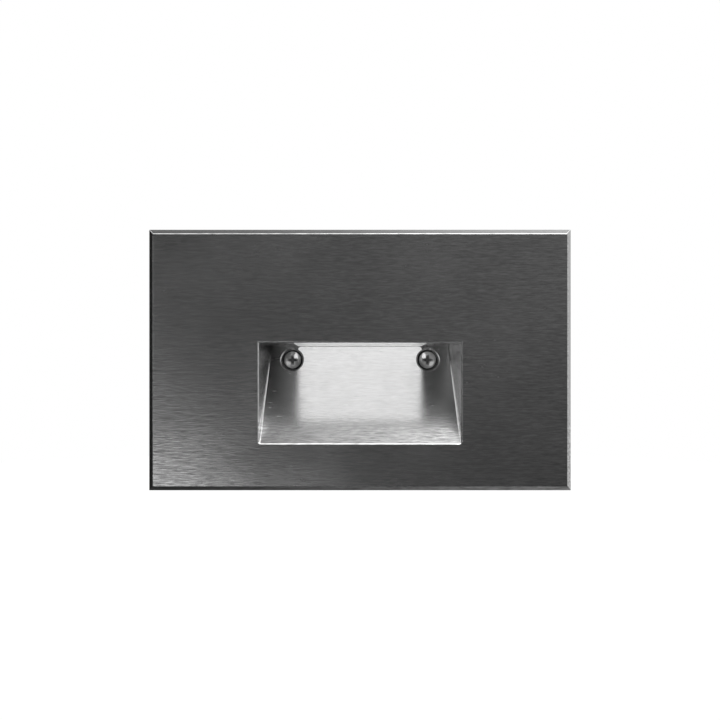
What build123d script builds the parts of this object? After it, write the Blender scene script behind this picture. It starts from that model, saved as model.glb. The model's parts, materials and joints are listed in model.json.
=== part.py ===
from build123d import *
from math import cos, radians, tan
import os

os.makedirs("parts", exist_ok=True)

# Step light for a single-gang wall box, in millimetres. The wall is the plane Y = 0, the viewer stands at -Y,
# +Z is up and +X is to the viewer's right. The origin is midway between the two box screws.

# faceplate: a flat plate with a scoop that is lit from its own top
PLATE_W = 127.0
PLATE_H = 78.5
PLATE_T = 4.8            # from the front face to the back of the rim
PLATE_BEVEL = 1.35
PLATE_WEB = 1.6          # thickness of the flat front
RIM_W = 2.5
WALL_GAP = 0.5           # air between the rim and the wall
LIP = 0.35               # chamfer around the scoop's mouth

# recess inside the scoop, measured at the plate's front face
RECESS_W = 60.8
RECESS_TOP = 5.2
RECESS_BOTTOM = -25.2
RECESS_DEPTH = 27.0
RECESS_STEP = 0.1        # low upright band between the slope and the top
SIDE_DRAFT = 3.3         # degrees
TOP_DRAFT = 1.5          # degrees
FOLD_R = 0.5             # where the slope turns into the sides
SCOOP_WALL = 1.6

# frosted pane that fills the scoop's top, and the light window above it
PANE_W = 40.4
PANE_FRONT_GAP = 1.9     # from the plate's front to the pane
PANE_BACK_GAP = 0.12     # from the pane to the back of the recess
PANE_R = 1.0
WINDOW_W = 39.0
WINDOW_FRONT_GAP = 8.3   # from the plate's front to the window
WINDOW_BACK_GAP = 1.0    # from the window to the back of the recess

# captive face screws
SCREW_X = 22.0
SCREW_Z = 0.0
SCREW_D = 3.0
SCREW_PITCH = 0.5
SCREW_TURNS = 8
HEAD_D = 5.6
HEAD_H = 2.4
CROSS_W = 3.2            # span of the cross recess in the head
COUNTERBORE_D = 6.9
COUNTERBORE_WALL = 1.5
COUNTERBORE_FLOOR = 1.8
COUNTERBORE_SINK = 1.2   # from the back of the recess to the counterbore's floor
COUNTERBORE_EDGE = 0.4   # chamfer around its mouth
SEAL_T = 0.8
SEAL_GAP = 0.3           # around the seal in the counterbore
RETAINER_T = 0.8
RETAINER_D = 6.0
RUNNING_FIT = 0.05       # radial
HOLE_PLAY = 0.2          # radial, around a screw in a plain hole

# wall gasket
GASKET_W = 3.0
GASKET_GAP = 0.3         # to the rim

# housing
FLANGE_END = 4.33        # metal beyond each slot
FLANGE_GAP = 3.45        # from the flange's upper and lower edges to the wall gasket
FLANGE_T = 1.4
FLANGE_R = 3.0
SLOT_SPACING = 83.34
SLOT_LENGTH = 8.0
SLOT_W = 4.2
SHELL_R = 3.0
SHELL_SIDE = 3.0
SHELL_WALL = 2.0
SHELL_FRONT = 0.6        # metal between the flange and the dry space
POCKET_GAP = 0.35        # between the scoop and the housing
POCKET_WALL = 1.5
POCKET_SIDE = 2.1        # metal beside the scoop, at the wall plane
POCKET_SILL = 0.8        # metal under the scoop, at the wall plane
SOCKET_FLOOR = 1.5
FIN_COUNT = 9
FIN_PITCH = 7.0
FIN_T = 1.2
FIN_H = 1.6
FIN_INSET = 3.0
INSERT_D = 4.6
INSERT_L = 4.2
INSERT_GAP = 0.6         # from the retainer to the insert
INSERT_WALL = 2.2        # metal around the thread insert
INSERT_END = 1.0         # blind metal behind the insert
TIP_GAP = 0.3            # from the screw's tip to the bottom of its hole
CAPTIVE_GAP = 0.1        # left between the retainer and its stop when the screw is out
THREAD_CLEAR = 0.1       # the screw's tip is this far out of the thread when it is out

# lens and light engine, stacked upward from the lens seat
LENS_RIM_T = 1.6
LENS_RIM_SIDE = 2.2      # width of the lens rim on its seat, left and right
LENS_RIM_ENDS = 1.65     # and front and back
LENS_NOSE_IN = 0.2       # the lens nose is this much inside the light window
LENS_NOSE_H = 2.1
LENS_R = 1.5
LENS_PLAY = 0.5          # around the lens nose
LENS_GASKET_T = 0.8
LIGHT_BOX_SIDE = 4.7     # wall of the light box, left and right
LIGHT_BOX_H = 3.5
LIGHT_BOX_TAPER = 12.0   # degrees
ENGINE_SIDE_GAP = 1.5    # from the light box to the housing's ribs
ENGINE_TOP_GAP = 1.85    # from the LED bracket to the housing's top wall
LED_BOARD_TAIL = 3.4     # the board's length behind the light box
LED_BOARD_T = 1.6
LED_COUNT = 6
LED_PITCH = 6.0
LED_W = 2.8
LED_D = 3.5
LED_H = 0.7
LED_SCREW_INSET = 2.2    # from the light box's side to its screw
LED_SCREW_D = 2.0
LED_SCREW_HEAD_D = 3.2
LED_SCREW_HEAD_H = 1.3
LED_SCREW_L = 4.0
PAD_GAP = 1.8            # from the pad to the board's screws
PAD_T = 0.6
BRACKET_T = 2.2
BRACKET_LEG_GAP = 0.95   # from the bracket's leg to the sockets beside it
BRACKET_LEG_END = 3.5    # the leg's length below its screws
BRACKET_SCREW_INSET = 4.0
BRACKET_SCREW_Z = 6.0
BRACKET_SCREW_D = 2.5
BRACKET_SCREW_HEAD_D = 4.2
BRACKET_SCREW_HEAD_H = 1.5
BRACKET_BOSS_D = 6.5
BRACKET_BOSS_H = 2.35
BRACKET_THREAD = 2.8     # depth of its screw in the boss
LEAD_D = 1.2
LEAD_X = 2.0
LEAD_BEND = 2.0
LEAD_RISE = 2.15         # from the lens seat to the leads
LEAD_PLAY = 1.0

# driver board and what it carries
BOARD_SIDE_GAP = 0.7     # from the board to the housing's sides
BOARD_POST_GAP = 0.5     # to the rear cover's posts below it
BOARD_EARTH_GAP = 1.0    # to the earth boss above it
BOARD_ROOM = 0.8         # from the bracket's screws to the board
BOARD_T = 1.6
BOARD_SCREW_IN_Z = 3.25  # from the board's upper and lower edges
BOARD_SCREW_D = 2.5
BOARD_SCREW_L = 6.0
BOARD_RIB = 6.0
BOARD_HOLE_PLAY = 0.3    # around the thread bosses
SEAT_WALL = 1.1          # shoulder of the thread boss that the board lies on
CAP_D = 8.0
CAP_L = 12.0
CAP_SPOT = (-8.0, -12.0)
FILM_W = 13.0
FILM_H = 6.0
FILM_L = 11.0
FILM_SPOT = (9.0, -12.0)
COIL_D = 8.0
COIL_L = 10.0
COIL_CORE_D = 4.0
COIL_FLANGE_T = 1.2
COIL_SPOT = (-19.0, -12.0)
BRIDGE_W = 4.0
BRIDGE_H = 4.7
BRIDGE_L = 2.5
BRIDGE_SPOT = (19.5, -12.0)
CHIP_W = 4.9
CHIP_H = 3.9
CHIP_L = 1.5
CHIP_SPOT = (-2.0, -2.0)
PIN_W = 0.4
PIN_PITCH = 1.27
PIN_REACH = 1.0
TRANSISTOR_W = 6.6
TRANSISTOR_H = 6.1
TRANSISTOR_L = 2.3
TRANSISTOR_SPOT = (8.0, -2.0)
VARISTOR_D = 7.0
VARISTOR_T = 3.5
VARISTOR_SPOT = (-10.0, 6.0)
FUSE_D = 8.4
FUSE_L = 7.5
FUSE_SPOT = (10.0, 3.0)
COMPONENT_LEG_D = 0.7
COMPONENT_LEG_L = 1.0
MOULD_EDGE = 0.3         # chamfer on the moulded components

# terminal block on the back of the driver board
POLE_COUNT = 3
POLE_PITCH = 5.0
BLOCK_H = 9.0
BLOCK_L = 8.5
BLOCK_SPOT = (-5.5, -11.0)
POLE_ROOM = 3.8
POLE_ROOM_H = 5.0
POLE_ROOM_L = 6.5
CLAMP_PLAY = 0.1
CLAMP_L = 3.6
CLAMP_WIRE_D = 2.2
TERMINAL_SCREW_D = 2.0
TERMINAL_HEAD_GAP = 0.2  # around the head in its room
TERMINAL_HEAD_H = 1.4
TERMINAL_SCREW_END = 0.6  # from the screw's tip to the clamp's far side

# earth screw, lug and lead
EARTH_X = 12.0
EARTH_BOSS_W = 8.0
EARTH_BOSS_H = 7.0
EARTH_BOSS_GAP = 0.3     # from the bracket to the boss
EARTH_BOSS_PROUD = 3.4   # the boss's reach behind the driver board
EARTH_INSET = 4.0        # from the top wall to the screw
EARTH_D = 4.0
EARTH_HEAD_D = 7.5
EARTH_HEAD_H = 2.5
EARTH_THREAD = 5.5
LUG_D = 8.0
LUG_T = 0.8
LUG_REACH = 7.6          # from the screw's axis to the end of the crimp barrel
BARREL_D = 2.6
EARTH_LEAD_D = 1.6
EARTH_BEND = 3.0
EARTH_LEAD_X = -1.5
EARTH_LEAD_RUN = 0.5     # upright run between its two bends

# rear closure
REAR_GASKET_T = 0.8
COVER_T = 1.6
COVER_ROOM = 0.5         # from the tallest component to the insulation sheet
COVER_SCREW_INSET = 1.5  # from the dry space's sides to the screws
COVER_SCREW_D = 3.0
COVER_SCREW_L = 8.0
COVER_HEAD_D = 5.6
COVER_HEAD_H = 2.0
POST_W = 6.0
POST_H = 5.0
POST_L = 14.0
SHEET_POST_GAP = 1.0     # from the sheet to the posts, left and right
SHEET_WALL_GAP = 4.0     # from the sheet to the top and bottom walls
SHEET_T = 0.4
GROMMET_SPOT = (16.0, -8.0)
GROMMET_BORE_D = 7.0
GROMMET_HOLE_D = 11.0
GROMMET_FLANGE_D = 15.0
GROMMET_FLANGE_T = 1.2
SHEET_PLAY = 0.5         # around the grommet's flange

CUT = 2.0                # cuts run this far past the face they open

# the recess and what is grown from it
PLATE_FRONT = -(WALL_GAP + PLATE_T)
PLATE_BACK = -WALL_GAP
WEB_BACK = PLATE_FRONT + PLATE_WEB
RECESS_BACK = PLATE_FRONT + RECESS_DEPTH
POCKET_IN = SCOOP_WALL + POCKET_GAP
POCKET_OUT = POCKET_IN + POCKET_WALL
PARTITION_BACK = RECESS_BACK + POCKET_OUT


def slope_tan():
    """Rise of the slope per millimetre of depth."""
    top_at_back = RECESS_TOP - RECESS_DEPTH * tan(radians(TOP_DRAFT))
    return (top_at_back - RECESS_STEP - RECESS_BOTTOM) / RECESS_DEPTH


def roof_z(grow, y):
    """Height of the recess's top face, grown outward by grow, at the depth y."""
    return RECESS_TOP + grow / cos(radians(TOP_DRAFT)) - (y - PLATE_FRONT) * tan(radians(TOP_DRAFT))


def slope_z(grow, y):
    """Height of the slope, grown outward by grow, at the depth y."""
    stretch = (1 + slope_tan() ** 2) ** 0.5
    return RECESS_BOTTOM - grow * stretch + (y - PLATE_FRONT) * slope_tan()


def slope_y(z):
    """Depth of the slope at the height z."""
    return PLATE_FRONT + (z - RECESS_BOTTOM) / slope_tan()


def half_width(grow, y):
    """Half of the recess's width, grown outward by grow, at the depth y."""
    draft = radians(SIDE_DRAFT)
    return RECESS_W / 2 + grow / cos(draft) - (y - PLATE_FRONT) * tan(draft)


# depths of the face screws and their seats
COUNTERBORE_BACK = RECESS_BACK + COUNTERBORE_SINK
BOSS_BACK = COUNTERBORE_BACK + COUNTERBORE_FLOOR
HEAD_UNDERSIDE = COUNTERBORE_BACK - SEAL_T
SCREW_TRAVEL = SCREW_PITCH * SCREW_TURNS
RETAINER_FRONT = BOSS_BACK + SCREW_TRAVEL + CAPTIVE_GAP
RETAINER_BACK = RETAINER_FRONT + RETAINER_T
INSERT_FRONT = RETAINER_BACK + INSERT_GAP
INSERT_BACK = INSERT_FRONT + INSERT_L
SCREW_TIP = INSERT_FRONT + SCREW_TRAVEL - THREAD_CLEAR
SCREW_HOLE_END = max(INSERT_BACK, SCREW_TIP + TIP_GAP)
BOSS_END = SCREW_HOLE_END + INSERT_END
SOCKET_BACK = BOSS_BACK + POCKET_GAP

# radii around the face screws
SEAL_R = COUNTERBORE_D / 2 - SEAL_GAP
BOSS_R = COUNTERBORE_D / 2 + COUNTERBORE_WALL
SOCKET_R = BOSS_R + POCKET_GAP
RETAINER_ROOM_R = RETAINER_D / 2 + HOLE_PLAY
THREAD_BOSS_R = max(INSERT_D / 2 + INSERT_WALL, RETAINER_ROOM_R + INSERT_WALL / 2)
BOARD_SEAT_R = THREAD_BOSS_R + SEAT_WALL

# pane, light window, lens and light engine, seen from above
PANE_D = RECESS_DEPTH - PANE_FRONT_GAP - PANE_BACK_GAP
PANE_Y = PLATE_FRONT + PANE_FRONT_GAP + PANE_D / 2
WINDOW_D = RECESS_DEPTH - WINDOW_FRONT_GAP - WINDOW_BACK_GAP
WINDOW_Y = PLATE_FRONT + WINDOW_FRONT_GAP + WINDOW_D / 2
LENS_NOSE_W = WINDOW_W - 2 * LENS_NOSE_IN
LENS_NOSE_D = WINDOW_D - 2 * LENS_NOSE_IN
LENS_HOLE_W = LENS_NOSE_W + 2 * LENS_PLAY
LENS_HOLE_D = LENS_NOSE_D + 2 * LENS_PLAY
LENS_W = LENS_HOLE_W + 2 * LENS_RIM_SIDE
LENS_D = LENS_HOLE_D + 2 * LENS_RIM_ENDS
LIGHT_BOX_W = LENS_NOSE_W + 2 * LIGHT_BOX_SIDE
LED_BOARD_D = LENS_D + LED_BOARD_TAIL
LED_SCREW_X = LIGHT_BOX_W / 2 - LED_SCREW_INSET
PAD_W = 2 * (LED_SCREW_X - LED_SCREW_D / 2 - PAD_GAP)
ENGINE_FRONT = WINDOW_Y - LENS_D / 2
LED_BOARD_Y = ENGINE_FRONT + LED_BOARD_D / 2
LEAD_Y = ENGINE_FRONT + LED_BOARD_D - LEAD_BEND
BRACKET_FRONT = PARTITION_BACK + BRACKET_BOSS_H
BRACKET_BACK = BRACKET_FRONT + BRACKET_T
BRACKET_LEG_W = 2 * (SCREW_X - SOCKET_R - POCKET_WALL - BRACKET_LEG_GAP)
BRACKET_SCREW_X = BRACKET_LEG_W / 2 - BRACKET_SCREW_INSET

# and their heights, stacked on the lens seat
LENS_SEAT = RECESS_TOP + POCKET_OUT
LENS_Z = LENS_SEAT + LENS_GASKET_T
LIGHT_BOX_Z = LENS_Z + LENS_RIM_T
LED_BOARD_Z = LIGHT_BOX_Z + LIGHT_BOX_H
PAD_Z = LED_BOARD_Z + LED_BOARD_T
BRACKET_Z = PAD_Z + PAD_T
BRACKET_TOP = BRACKET_Z + BRACKET_T
LEAD_Z = LENS_SEAT + LEAD_RISE

# housing: wide enough for the scoop and the light engine, and tall enough for both
DRY_HALF_W = max(
    LIGHT_BOX_W / 2 + ENGINE_SIDE_GAP + BOARD_RIB,
    half_width(POCKET_IN, 0) + POCKET_SIDE - SHELL_SIDE,
)
DRY_HALF_H = max(BRACKET_TOP + ENGINE_TOP_GAP, POCKET_SILL - slope_z(POCKET_IN, 0) - SHELL_WALL)
DRY_FRONT = min(SHELL_FRONT, ENGINE_FRONT - HOLE_PLAY)
DRY_W = 2 * DRY_HALF_W
DRY_H = 2 * DRY_HALF_H
SHELL_W = DRY_W + 2 * SHELL_SIDE
SHELL_H = DRY_H + 2 * SHELL_WALL
GASKET_OUT_W = PLATE_W - 2 * (RIM_W + GASKET_GAP)
GASKET_OUT_H = PLATE_H - 2 * (RIM_W + GASKET_GAP)
FLANGE_W = SLOT_SPACING + SLOT_LENGTH + 2 * FLANGE_END
FLANGE_H = GASKET_OUT_H - 2 * (GASKET_W + FLANGE_GAP)

# driver board and rear closure
COVER_SCREW_X = DRY_HALF_W - COVER_SCREW_INSET
COVER_SCREW_Z = DRY_HALF_H - COVER_SCREW_INSET
BOARD_FRONT = BRACKET_BACK + BRACKET_SCREW_HEAD_H + BOARD_ROOM
BOARD_BACK = BOARD_FRONT + BOARD_T
BOARD_W = DRY_W - 2 * BOARD_SIDE_GAP
BOARD_TOP = DRY_HALF_H - EARTH_BOSS_H - BOARD_EARTH_GAP
BOARD_BOTTOM = POST_H / 2 - COVER_SCREW_Z + BOARD_POST_GAP
BOARD_H = BOARD_TOP - BOARD_BOTTOM
BOARD_Z = (BOARD_TOP + BOARD_BOTTOM) / 2
BOARD_SCREW_X = DRY_HALF_W - BOARD_RIB / 2
TALLEST = max(BLOCK_L, FUSE_L, COMPONENT_LEG_L + VARISTOR_D)
COVER_FRONT = max(BOARD_BACK + TALLEST, BOSS_END) + COVER_ROOM + SHEET_T
COVER_BACK = COVER_FRONT + COVER_T
SHELL_DEPTH = COVER_FRONT - REAR_GASKET_T
SHEET_W = 2 * (COVER_SCREW_X - POST_W / 2 - SHEET_POST_GAP)
SHEET_H = DRY_H - 2 * SHEET_WALL_GAP
EARTH_Z = DRY_HALF_H - EARTH_INSET
EARTH_BOSS_FRONT = BRACKET_BACK + EARTH_BOSS_GAP
EARTH_BOSS_BACK = BOARD_BACK + EARTH_BOSS_PROUD
EARTH_LEAD_Z = EARTH_Z - 2 * EARTH_BEND - EARTH_LEAD_RUN

SIDES = {"left": -1, "right": 1}
COVER_ROWS = (-COVER_SCREW_Z, COVER_SCREW_Z)
COVER_SCREWS = [(x, z) for x in (-COVER_SCREW_X, COVER_SCREW_X) for z in COVER_ROWS]
BOARD_ROWS = (BOARD_BOTTOM + BOARD_SCREW_IN_Z, BOARD_TOP - BOARD_SCREW_IN_Z)
BOARD_SCREWS = [(x, z) for x in (-BOARD_SCREW_X, BOARD_SCREW_X) for z in BOARD_ROWS]
FACE_SCREWS = [(-SCREW_X, SCREW_Z), (SCREW_X, SCREW_Z)]
BRACKET_SCREWS = [(-BRACKET_SCREW_X, BRACKET_SCREW_Z), (BRACKET_SCREW_X, BRACKET_SCREW_Z)]
LED_SCREWS = [(-LED_SCREW_X, WINDOW_Y), (LED_SCREW_X, WINDOW_Y)]

FACING_FRONT = (90, 0, 0)     # turns +Z to -Y
FACING_BACK = (-90, 0, 0)     # turns +Z to +Y
FACING_DOWN = (180, 0, 0)


def depth(y):
    """Sketch plane parallel to the wall at the depth y, whose positive extrusions go to the front."""
    return Plane.XZ.offset(-y)


def recess_wedge(grow, front, fold_r=0.0):
    """The recess as a solid wedge, grown outward by grow, from the depth front to its back."""
    back = RECESS_BACK + grow
    with BuildPart() as wedge:
        with BuildSketch(Plane.YZ):
            with BuildLine():
                Polyline(
                    (front, slope_z(grow, front)),
                    (back, slope_z(grow, back)),
                    (back, roof_z(grow, back)),
                    (front, roof_z(grow, front)),
                    close=True,
                )
            make_face()
        extrude(amount=PLATE_W, both=True)
        with BuildSketch(Plane.XY):
            with BuildLine():
                Polyline(
                    (-half_width(grow, front), front),
                    (half_width(grow, front), front),
                    (half_width(grow, back), back),
                    (-half_width(grow, back), back),
                    close=True,
                )
            make_face()
        extrude(amount=PLATE_H, both=True, mode=Mode.INTERSECT)
        if fold_r:
            slope = wedge.faces().sort_by(Axis.Z)[0]
            fillet(slope.edges().sort_by(lambda edge: abs(edge.center().X))[-2:], fold_r)
    return wedge.part


def cross_head_screw(head_d, head_h, shank_d, length, cross_w):
    """Pan-head screw along Z: the head's underside is at Z = 0 and its shank points down."""
    wall = head_h * 0.5
    dome = head_h - wall
    dome_r = ((head_d / 2) ** 2 + dome**2) / (2 * dome)
    tip = shank_d * 0.2
    with BuildPart() as screw:
        with BuildSketch(Plane.XZ):
            with BuildLine():
                Polyline(
                    (0, head_h),
                    (0, -length),
                    (shank_d / 2 - tip, -length),
                    (shank_d / 2, tip - length),
                    (shank_d / 2, 0),
                    (head_d / 2, 0),
                    (head_d / 2, wall),
                )
                RadiusArc((head_d / 2, wall), (0, head_h), -dome_r)
            make_face()
        revolve(axis=Axis.Z)
        with BuildSketch(Plane.XY.offset(head_h)):
            Rectangle(cross_w, cross_w / 4.2)
            Rectangle(cross_w / 4.2, cross_w)
        extrude(amount=-head_h * 0.62, taper=14, mode=Mode.SUBTRACT)
    return screw.part


def plain_prism(width, height, length, spot, y):
    """Moulded block on the driver board: it starts at the depth y and runs to the front when length > 0."""
    with BuildPart() as block:
        with BuildSketch(depth(y)):
            with Locations(spot):
                Rectangle(width, height)
        extrude(amount=length)
        far = block.faces().sort_by(Axis.Y)[0 if length > 0 else -1]
        chamfer(far.edges(), MOULD_EDGE)
    return block.part


def save(part, name):
    """Write one finished piece."""
    part.label = name
    export_step(part, f"parts/{name}.step")


# ---------------------------------------------------------------- faceplate

with BuildPart() as faceplate:
    with BuildSketch(depth(PLATE_BACK)):
        Rectangle(PLATE_W, PLATE_H)
    extrude(amount=PLATE_T)
    chamfer(faceplate.faces().sort_by(Axis.Y)[0].edges(), PLATE_BEVEL)
    with BuildSketch(depth(PLATE_BACK)):
        Rectangle(PLATE_W - 2 * RIM_W, PLATE_H - 2 * RIM_W)
    extrude(amount=PLATE_BACK - WEB_BACK, mode=Mode.SUBTRACT)
    # scoop and the two screw bosses behind its slope
    add(recess_wedge(SCOOP_WALL, PLATE_FRONT + PLATE_WEB / 2))
    with BuildSketch(depth(BOSS_BACK)):
        with Locations(*FACE_SCREWS):
            Circle(BOSS_R)
    extrude(amount=BOSS_BACK - slope_y(SCREW_Z - BOSS_R))
    # mouth of the scoop and the lip around it
    add(recess_wedge(0, PLATE_FRONT - CUT, FOLD_R), mode=Mode.SUBTRACT)
    mouth = faceplate.faces().sort_by(Axis.Y)[0].inner_wires()[0]
    chamfer(mouth.edges(), LIP)
    # aperture for the frosted pane
    with BuildSketch(Plane.XY.offset(roof_z(0, RECESS_BACK) - RECESS_STEP / 2)):
        with Locations((0, PANE_Y)):
            RectangleRounded(PANE_W, PANE_D, PANE_R)
    extrude(amount=SCOOP_WALL + CUT, mode=Mode.SUBTRACT)
    # counterbores and screw holes
    with BuildSketch(depth(COUNTERBORE_BACK)):
        with Locations(*FACE_SCREWS):
            Circle(COUNTERBORE_D / 2)
    extrude(amount=COUNTERBORE_BACK - slope_y(SCREW_Z - BOSS_R), mode=Mode.SUBTRACT)
    chamfer(faceplate.edges(Select.LAST).filter_by(GeomType.ELLIPSE), COUNTERBORE_EDGE)
    with BuildSketch(depth(BOSS_BACK + CUT)):
        with Locations(*FACE_SCREWS):
            Circle(SCREW_D / 2 + HOLE_PLAY)
    extrude(amount=COUNTERBORE_FLOOR + 2 * CUT, mode=Mode.SUBTRACT)
save(faceplate.part, "faceplate")

# frosted pane cemented into its aperture, flush with both faces of the scoop's top
with BuildPart() as window_pane:
    add(recess_wedge(SCOOP_WALL, PLATE_FRONT))
    add(recess_wedge(0, PLATE_FRONT - CUT), mode=Mode.SUBTRACT)
    with BuildSketch(Plane.XY.offset(roof_z(0, RECESS_BACK) - RECESS_STEP / 2)):
        with Locations((0, PANE_Y)):
            RectangleRounded(PANE_W, PANE_D, PANE_R)
    extrude(amount=SCOOP_WALL + CUT, mode=Mode.INTERSECT)
save(window_pane.part, "window_pane")

# ---------------------------------------------------------------- wall gasket

with BuildPart() as wall_gasket:
    with BuildSketch(depth(0)):
        Rectangle(GASKET_OUT_W, GASKET_OUT_H)
        Rectangle(GASKET_OUT_W - 2 * GASKET_W, GASKET_OUT_H - 2 * GASKET_W, mode=Mode.SUBTRACT)
    extrude(amount=-WEB_BACK)
save(wall_gasket.part, "wall_gasket")

# ---------------------------------------------------------------- captive face screws

face_screw = cross_head_screw(HEAD_D, HEAD_H, SCREW_D, SCREW_TIP - HEAD_UNDERSIDE, CROSS_W)
for side, sign in SIDES.items():
    with BuildPart() as face_screw_side:
        add(face_screw.moved(Location((sign * SCREW_X, HEAD_UNDERSIDE, SCREW_Z), FACING_FRONT)))
    save(face_screw_side.part, f"face_screw_{side}")

    with BuildPart() as screw_seal:
        with BuildSketch(depth(COUNTERBORE_BACK)):
            with Locations((sign * SCREW_X, SCREW_Z)):
                Circle(SEAL_R)
                Circle(SCREW_D / 2 + RUNNING_FIT, mode=Mode.SUBTRACT)
        extrude(amount=SEAL_T)
    save(screw_seal.part, f"screw_seal_{side}")

    with BuildPart() as screw_retainer:
        with BuildSketch(depth(RETAINER_BACK)):
            with Locations((sign * SCREW_X, SCREW_Z)):
                Circle(RETAINER_D / 2)
                Circle(SCREW_D / 2, mode=Mode.SUBTRACT)
        extrude(amount=RETAINER_T)
    save(screw_retainer.part, f"screw_retainer_{side}")

# ---------------------------------------------------------------- housing

with BuildPart() as housing:
    with BuildSketch(depth(SHELL_DEPTH)):
        RectangleRounded(SHELL_W, SHELL_H, SHELL_R)
    extrude(amount=SHELL_DEPTH)
    with BuildSketch(depth(SHELL_DEPTH)):
        Rectangle(DRY_W, DRY_H)
    extrude(amount=SHELL_DEPTH - DRY_FRONT, mode=Mode.SUBTRACT)
    # posts for the rear cover's screws, and ribs that the driver board is screwed to
    with BuildSketch(depth(SHELL_DEPTH)):
        with Locations(*COVER_SCREWS):
            Rectangle(POST_W, POST_H)
    extrude(amount=POST_L)
    with BuildSketch(depth(BOARD_FRONT)):
        with Locations(*BOARD_SCREWS):
            Rectangle(BOARD_RIB, BOARD_RIB)
    extrude(amount=BOARD_FRONT)
    # earth boss under the top wall
    with BuildSketch(depth(EARTH_BOSS_BACK)):
        with Locations((EARTH_X, DRY_HALF_H)):
            Rectangle(EARTH_BOSS_W, 2 * EARTH_BOSS_H)
    extrude(amount=EARTH_BOSS_BACK - EARTH_BOSS_FRONT)
    # partition around the scoop, with a flat seat for the lens on top of it
    add(recess_wedge(POCKET_OUT, 0))
    with BuildSketch(Plane.XY.offset(LENS_SEAT)):
        with Locations((0, PARTITION_BACK / 2)):
            Rectangle(DRY_W, PARTITION_BACK)
    extrude(amount=-POCKET_WALL)
    # sockets for the faceplate's bosses, thread bosses behind them, bosses for the LED bracket
    with BuildSketch(depth(SOCKET_BACK + SOCKET_FLOOR)):
        with Locations(*FACE_SCREWS):
            Circle(SOCKET_R + POCKET_WALL)
    extrude(amount=SOCKET_BACK + SOCKET_FLOOR - slope_y(SCREW_Z - SOCKET_R - POCKET_WALL))
    with BuildSketch(depth(BOARD_FRONT)):
        with Locations(*FACE_SCREWS):
            Circle(BOARD_SEAT_R)
    extrude(amount=BOARD_FRONT - SOCKET_BACK)
    with BuildSketch(depth(BOSS_END)):
        with Locations(*FACE_SCREWS):
            Circle(THREAD_BOSS_R)
    extrude(amount=BOSS_END - SOCKET_BACK)
    with BuildSketch(depth(BRACKET_FRONT)):
        with Locations(*BRACKET_SCREWS):
            Circle(BRACKET_BOSS_D / 2)
    extrude(amount=BRACKET_BOSS_H + POCKET_WALL / 2)
    # nothing of the inside stands out of the shell
    with BuildSketch(depth(SHELL_DEPTH)):
        RectangleRounded(SHELL_W, SHELL_H, SHELL_R)
    extrude(amount=SHELL_DEPTH, mode=Mode.INTERSECT)
    # cooling fins along the top
    with BuildSketch(Plane.XY.offset(SHELL_H / 2 - SHELL_WALL / 2)):
        with Locations((0, SHELL_DEPTH / 2)):
            with GridLocations(FIN_PITCH, 1, FIN_COUNT, 1):
                Rectangle(FIN_T, SHELL_DEPTH - 2 * FIN_INSET)
    extrude(amount=FIN_H + SHELL_WALL / 2)
    with BuildSketch(depth(0)):
        RectangleRounded(FLANGE_W, FLANGE_H, FLANGE_R)
    extrude(amount=FLANGE_T)
    # the pocket that the scoop and its bosses slide into
    add(recess_wedge(POCKET_IN, -FLANGE_T - CUT), mode=Mode.SUBTRACT)
    with BuildSketch(depth(SOCKET_BACK)):
        with Locations(*FACE_SCREWS):
            Circle(SOCKET_R)
    extrude(amount=SOCKET_BACK - slope_y(SCREW_Z - SOCKET_R), mode=Mode.SUBTRACT)
    with BuildSketch(depth(INSERT_FRONT)):
        with Locations(*FACE_SCREWS):
            Circle(RETAINER_ROOM_R)
    extrude(amount=INSERT_FRONT - SOCKET_BACK + CUT, mode=Mode.SUBTRACT)
    with BuildSketch(depth(SCREW_HOLE_END)):
        with Locations(*FACE_SCREWS):
            Circle(INSERT_D / 2)
    extrude(amount=SCREW_HOLE_END - INSERT_FRONT, mode=Mode.SUBTRACT)
    # lens window
    with BuildSketch(Plane.XY.offset(LENS_SEAT)):
        with Locations((0, WINDOW_Y)):
            RectangleRounded(LENS_HOLE_W, LENS_HOLE_D, LENS_R + LENS_PLAY)
    extrude(amount=-POCKET_WALL - CUT / 2, mode=Mode.SUBTRACT)
    # box-screw slots
    with BuildSketch(depth(CUT)):
        with GridLocations(SLOT_SPACING, 1, 2, 1):
            SlotOverall(SLOT_LENGTH, SLOT_W)
    extrude(amount=FLANGE_T + 2 * CUT, mode=Mode.SUBTRACT)
    # threaded holes
    with BuildSketch(depth(SHELL_DEPTH)):
        with Locations(*COVER_SCREWS):
            Circle(COVER_SCREW_D / 2)
    extrude(amount=COVER_SCREW_L, mode=Mode.SUBTRACT)
    with BuildSketch(depth(BOARD_FRONT)):
        with Locations(*BOARD_SCREWS):
            Circle(BOARD_SCREW_D / 2)
    extrude(amount=BOARD_SCREW_L, mode=Mode.SUBTRACT)
    with BuildSketch(depth(EARTH_BOSS_BACK)):
        with Locations((EARTH_X, EARTH_Z)):
            Circle(EARTH_D / 2)
    extrude(amount=EARTH_THREAD + TIP_GAP, mode=Mode.SUBTRACT)
    with BuildSketch(depth(BRACKET_FRONT)):
        with Locations(*BRACKET_SCREWS):
            Circle(BRACKET_SCREW_D / 2)
    extrude(amount=BRACKET_THREAD + TIP_GAP / 2, mode=Mode.SUBTRACT)
save(housing.part, "housing")

for side, sign in SIDES.items():
    with BuildPart() as thread_insert:
        with BuildSketch(depth(INSERT_BACK)):
            with Locations((sign * SCREW_X, SCREW_Z)):
                Circle(INSERT_D / 2)
                Circle(SCREW_D / 2 + RUNNING_FIT, mode=Mode.SUBTRACT)
        extrude(amount=INSERT_L)
    save(thread_insert.part, f"thread_insert_{side}")

# ---------------------------------------------------------------- lens and light engine

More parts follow.
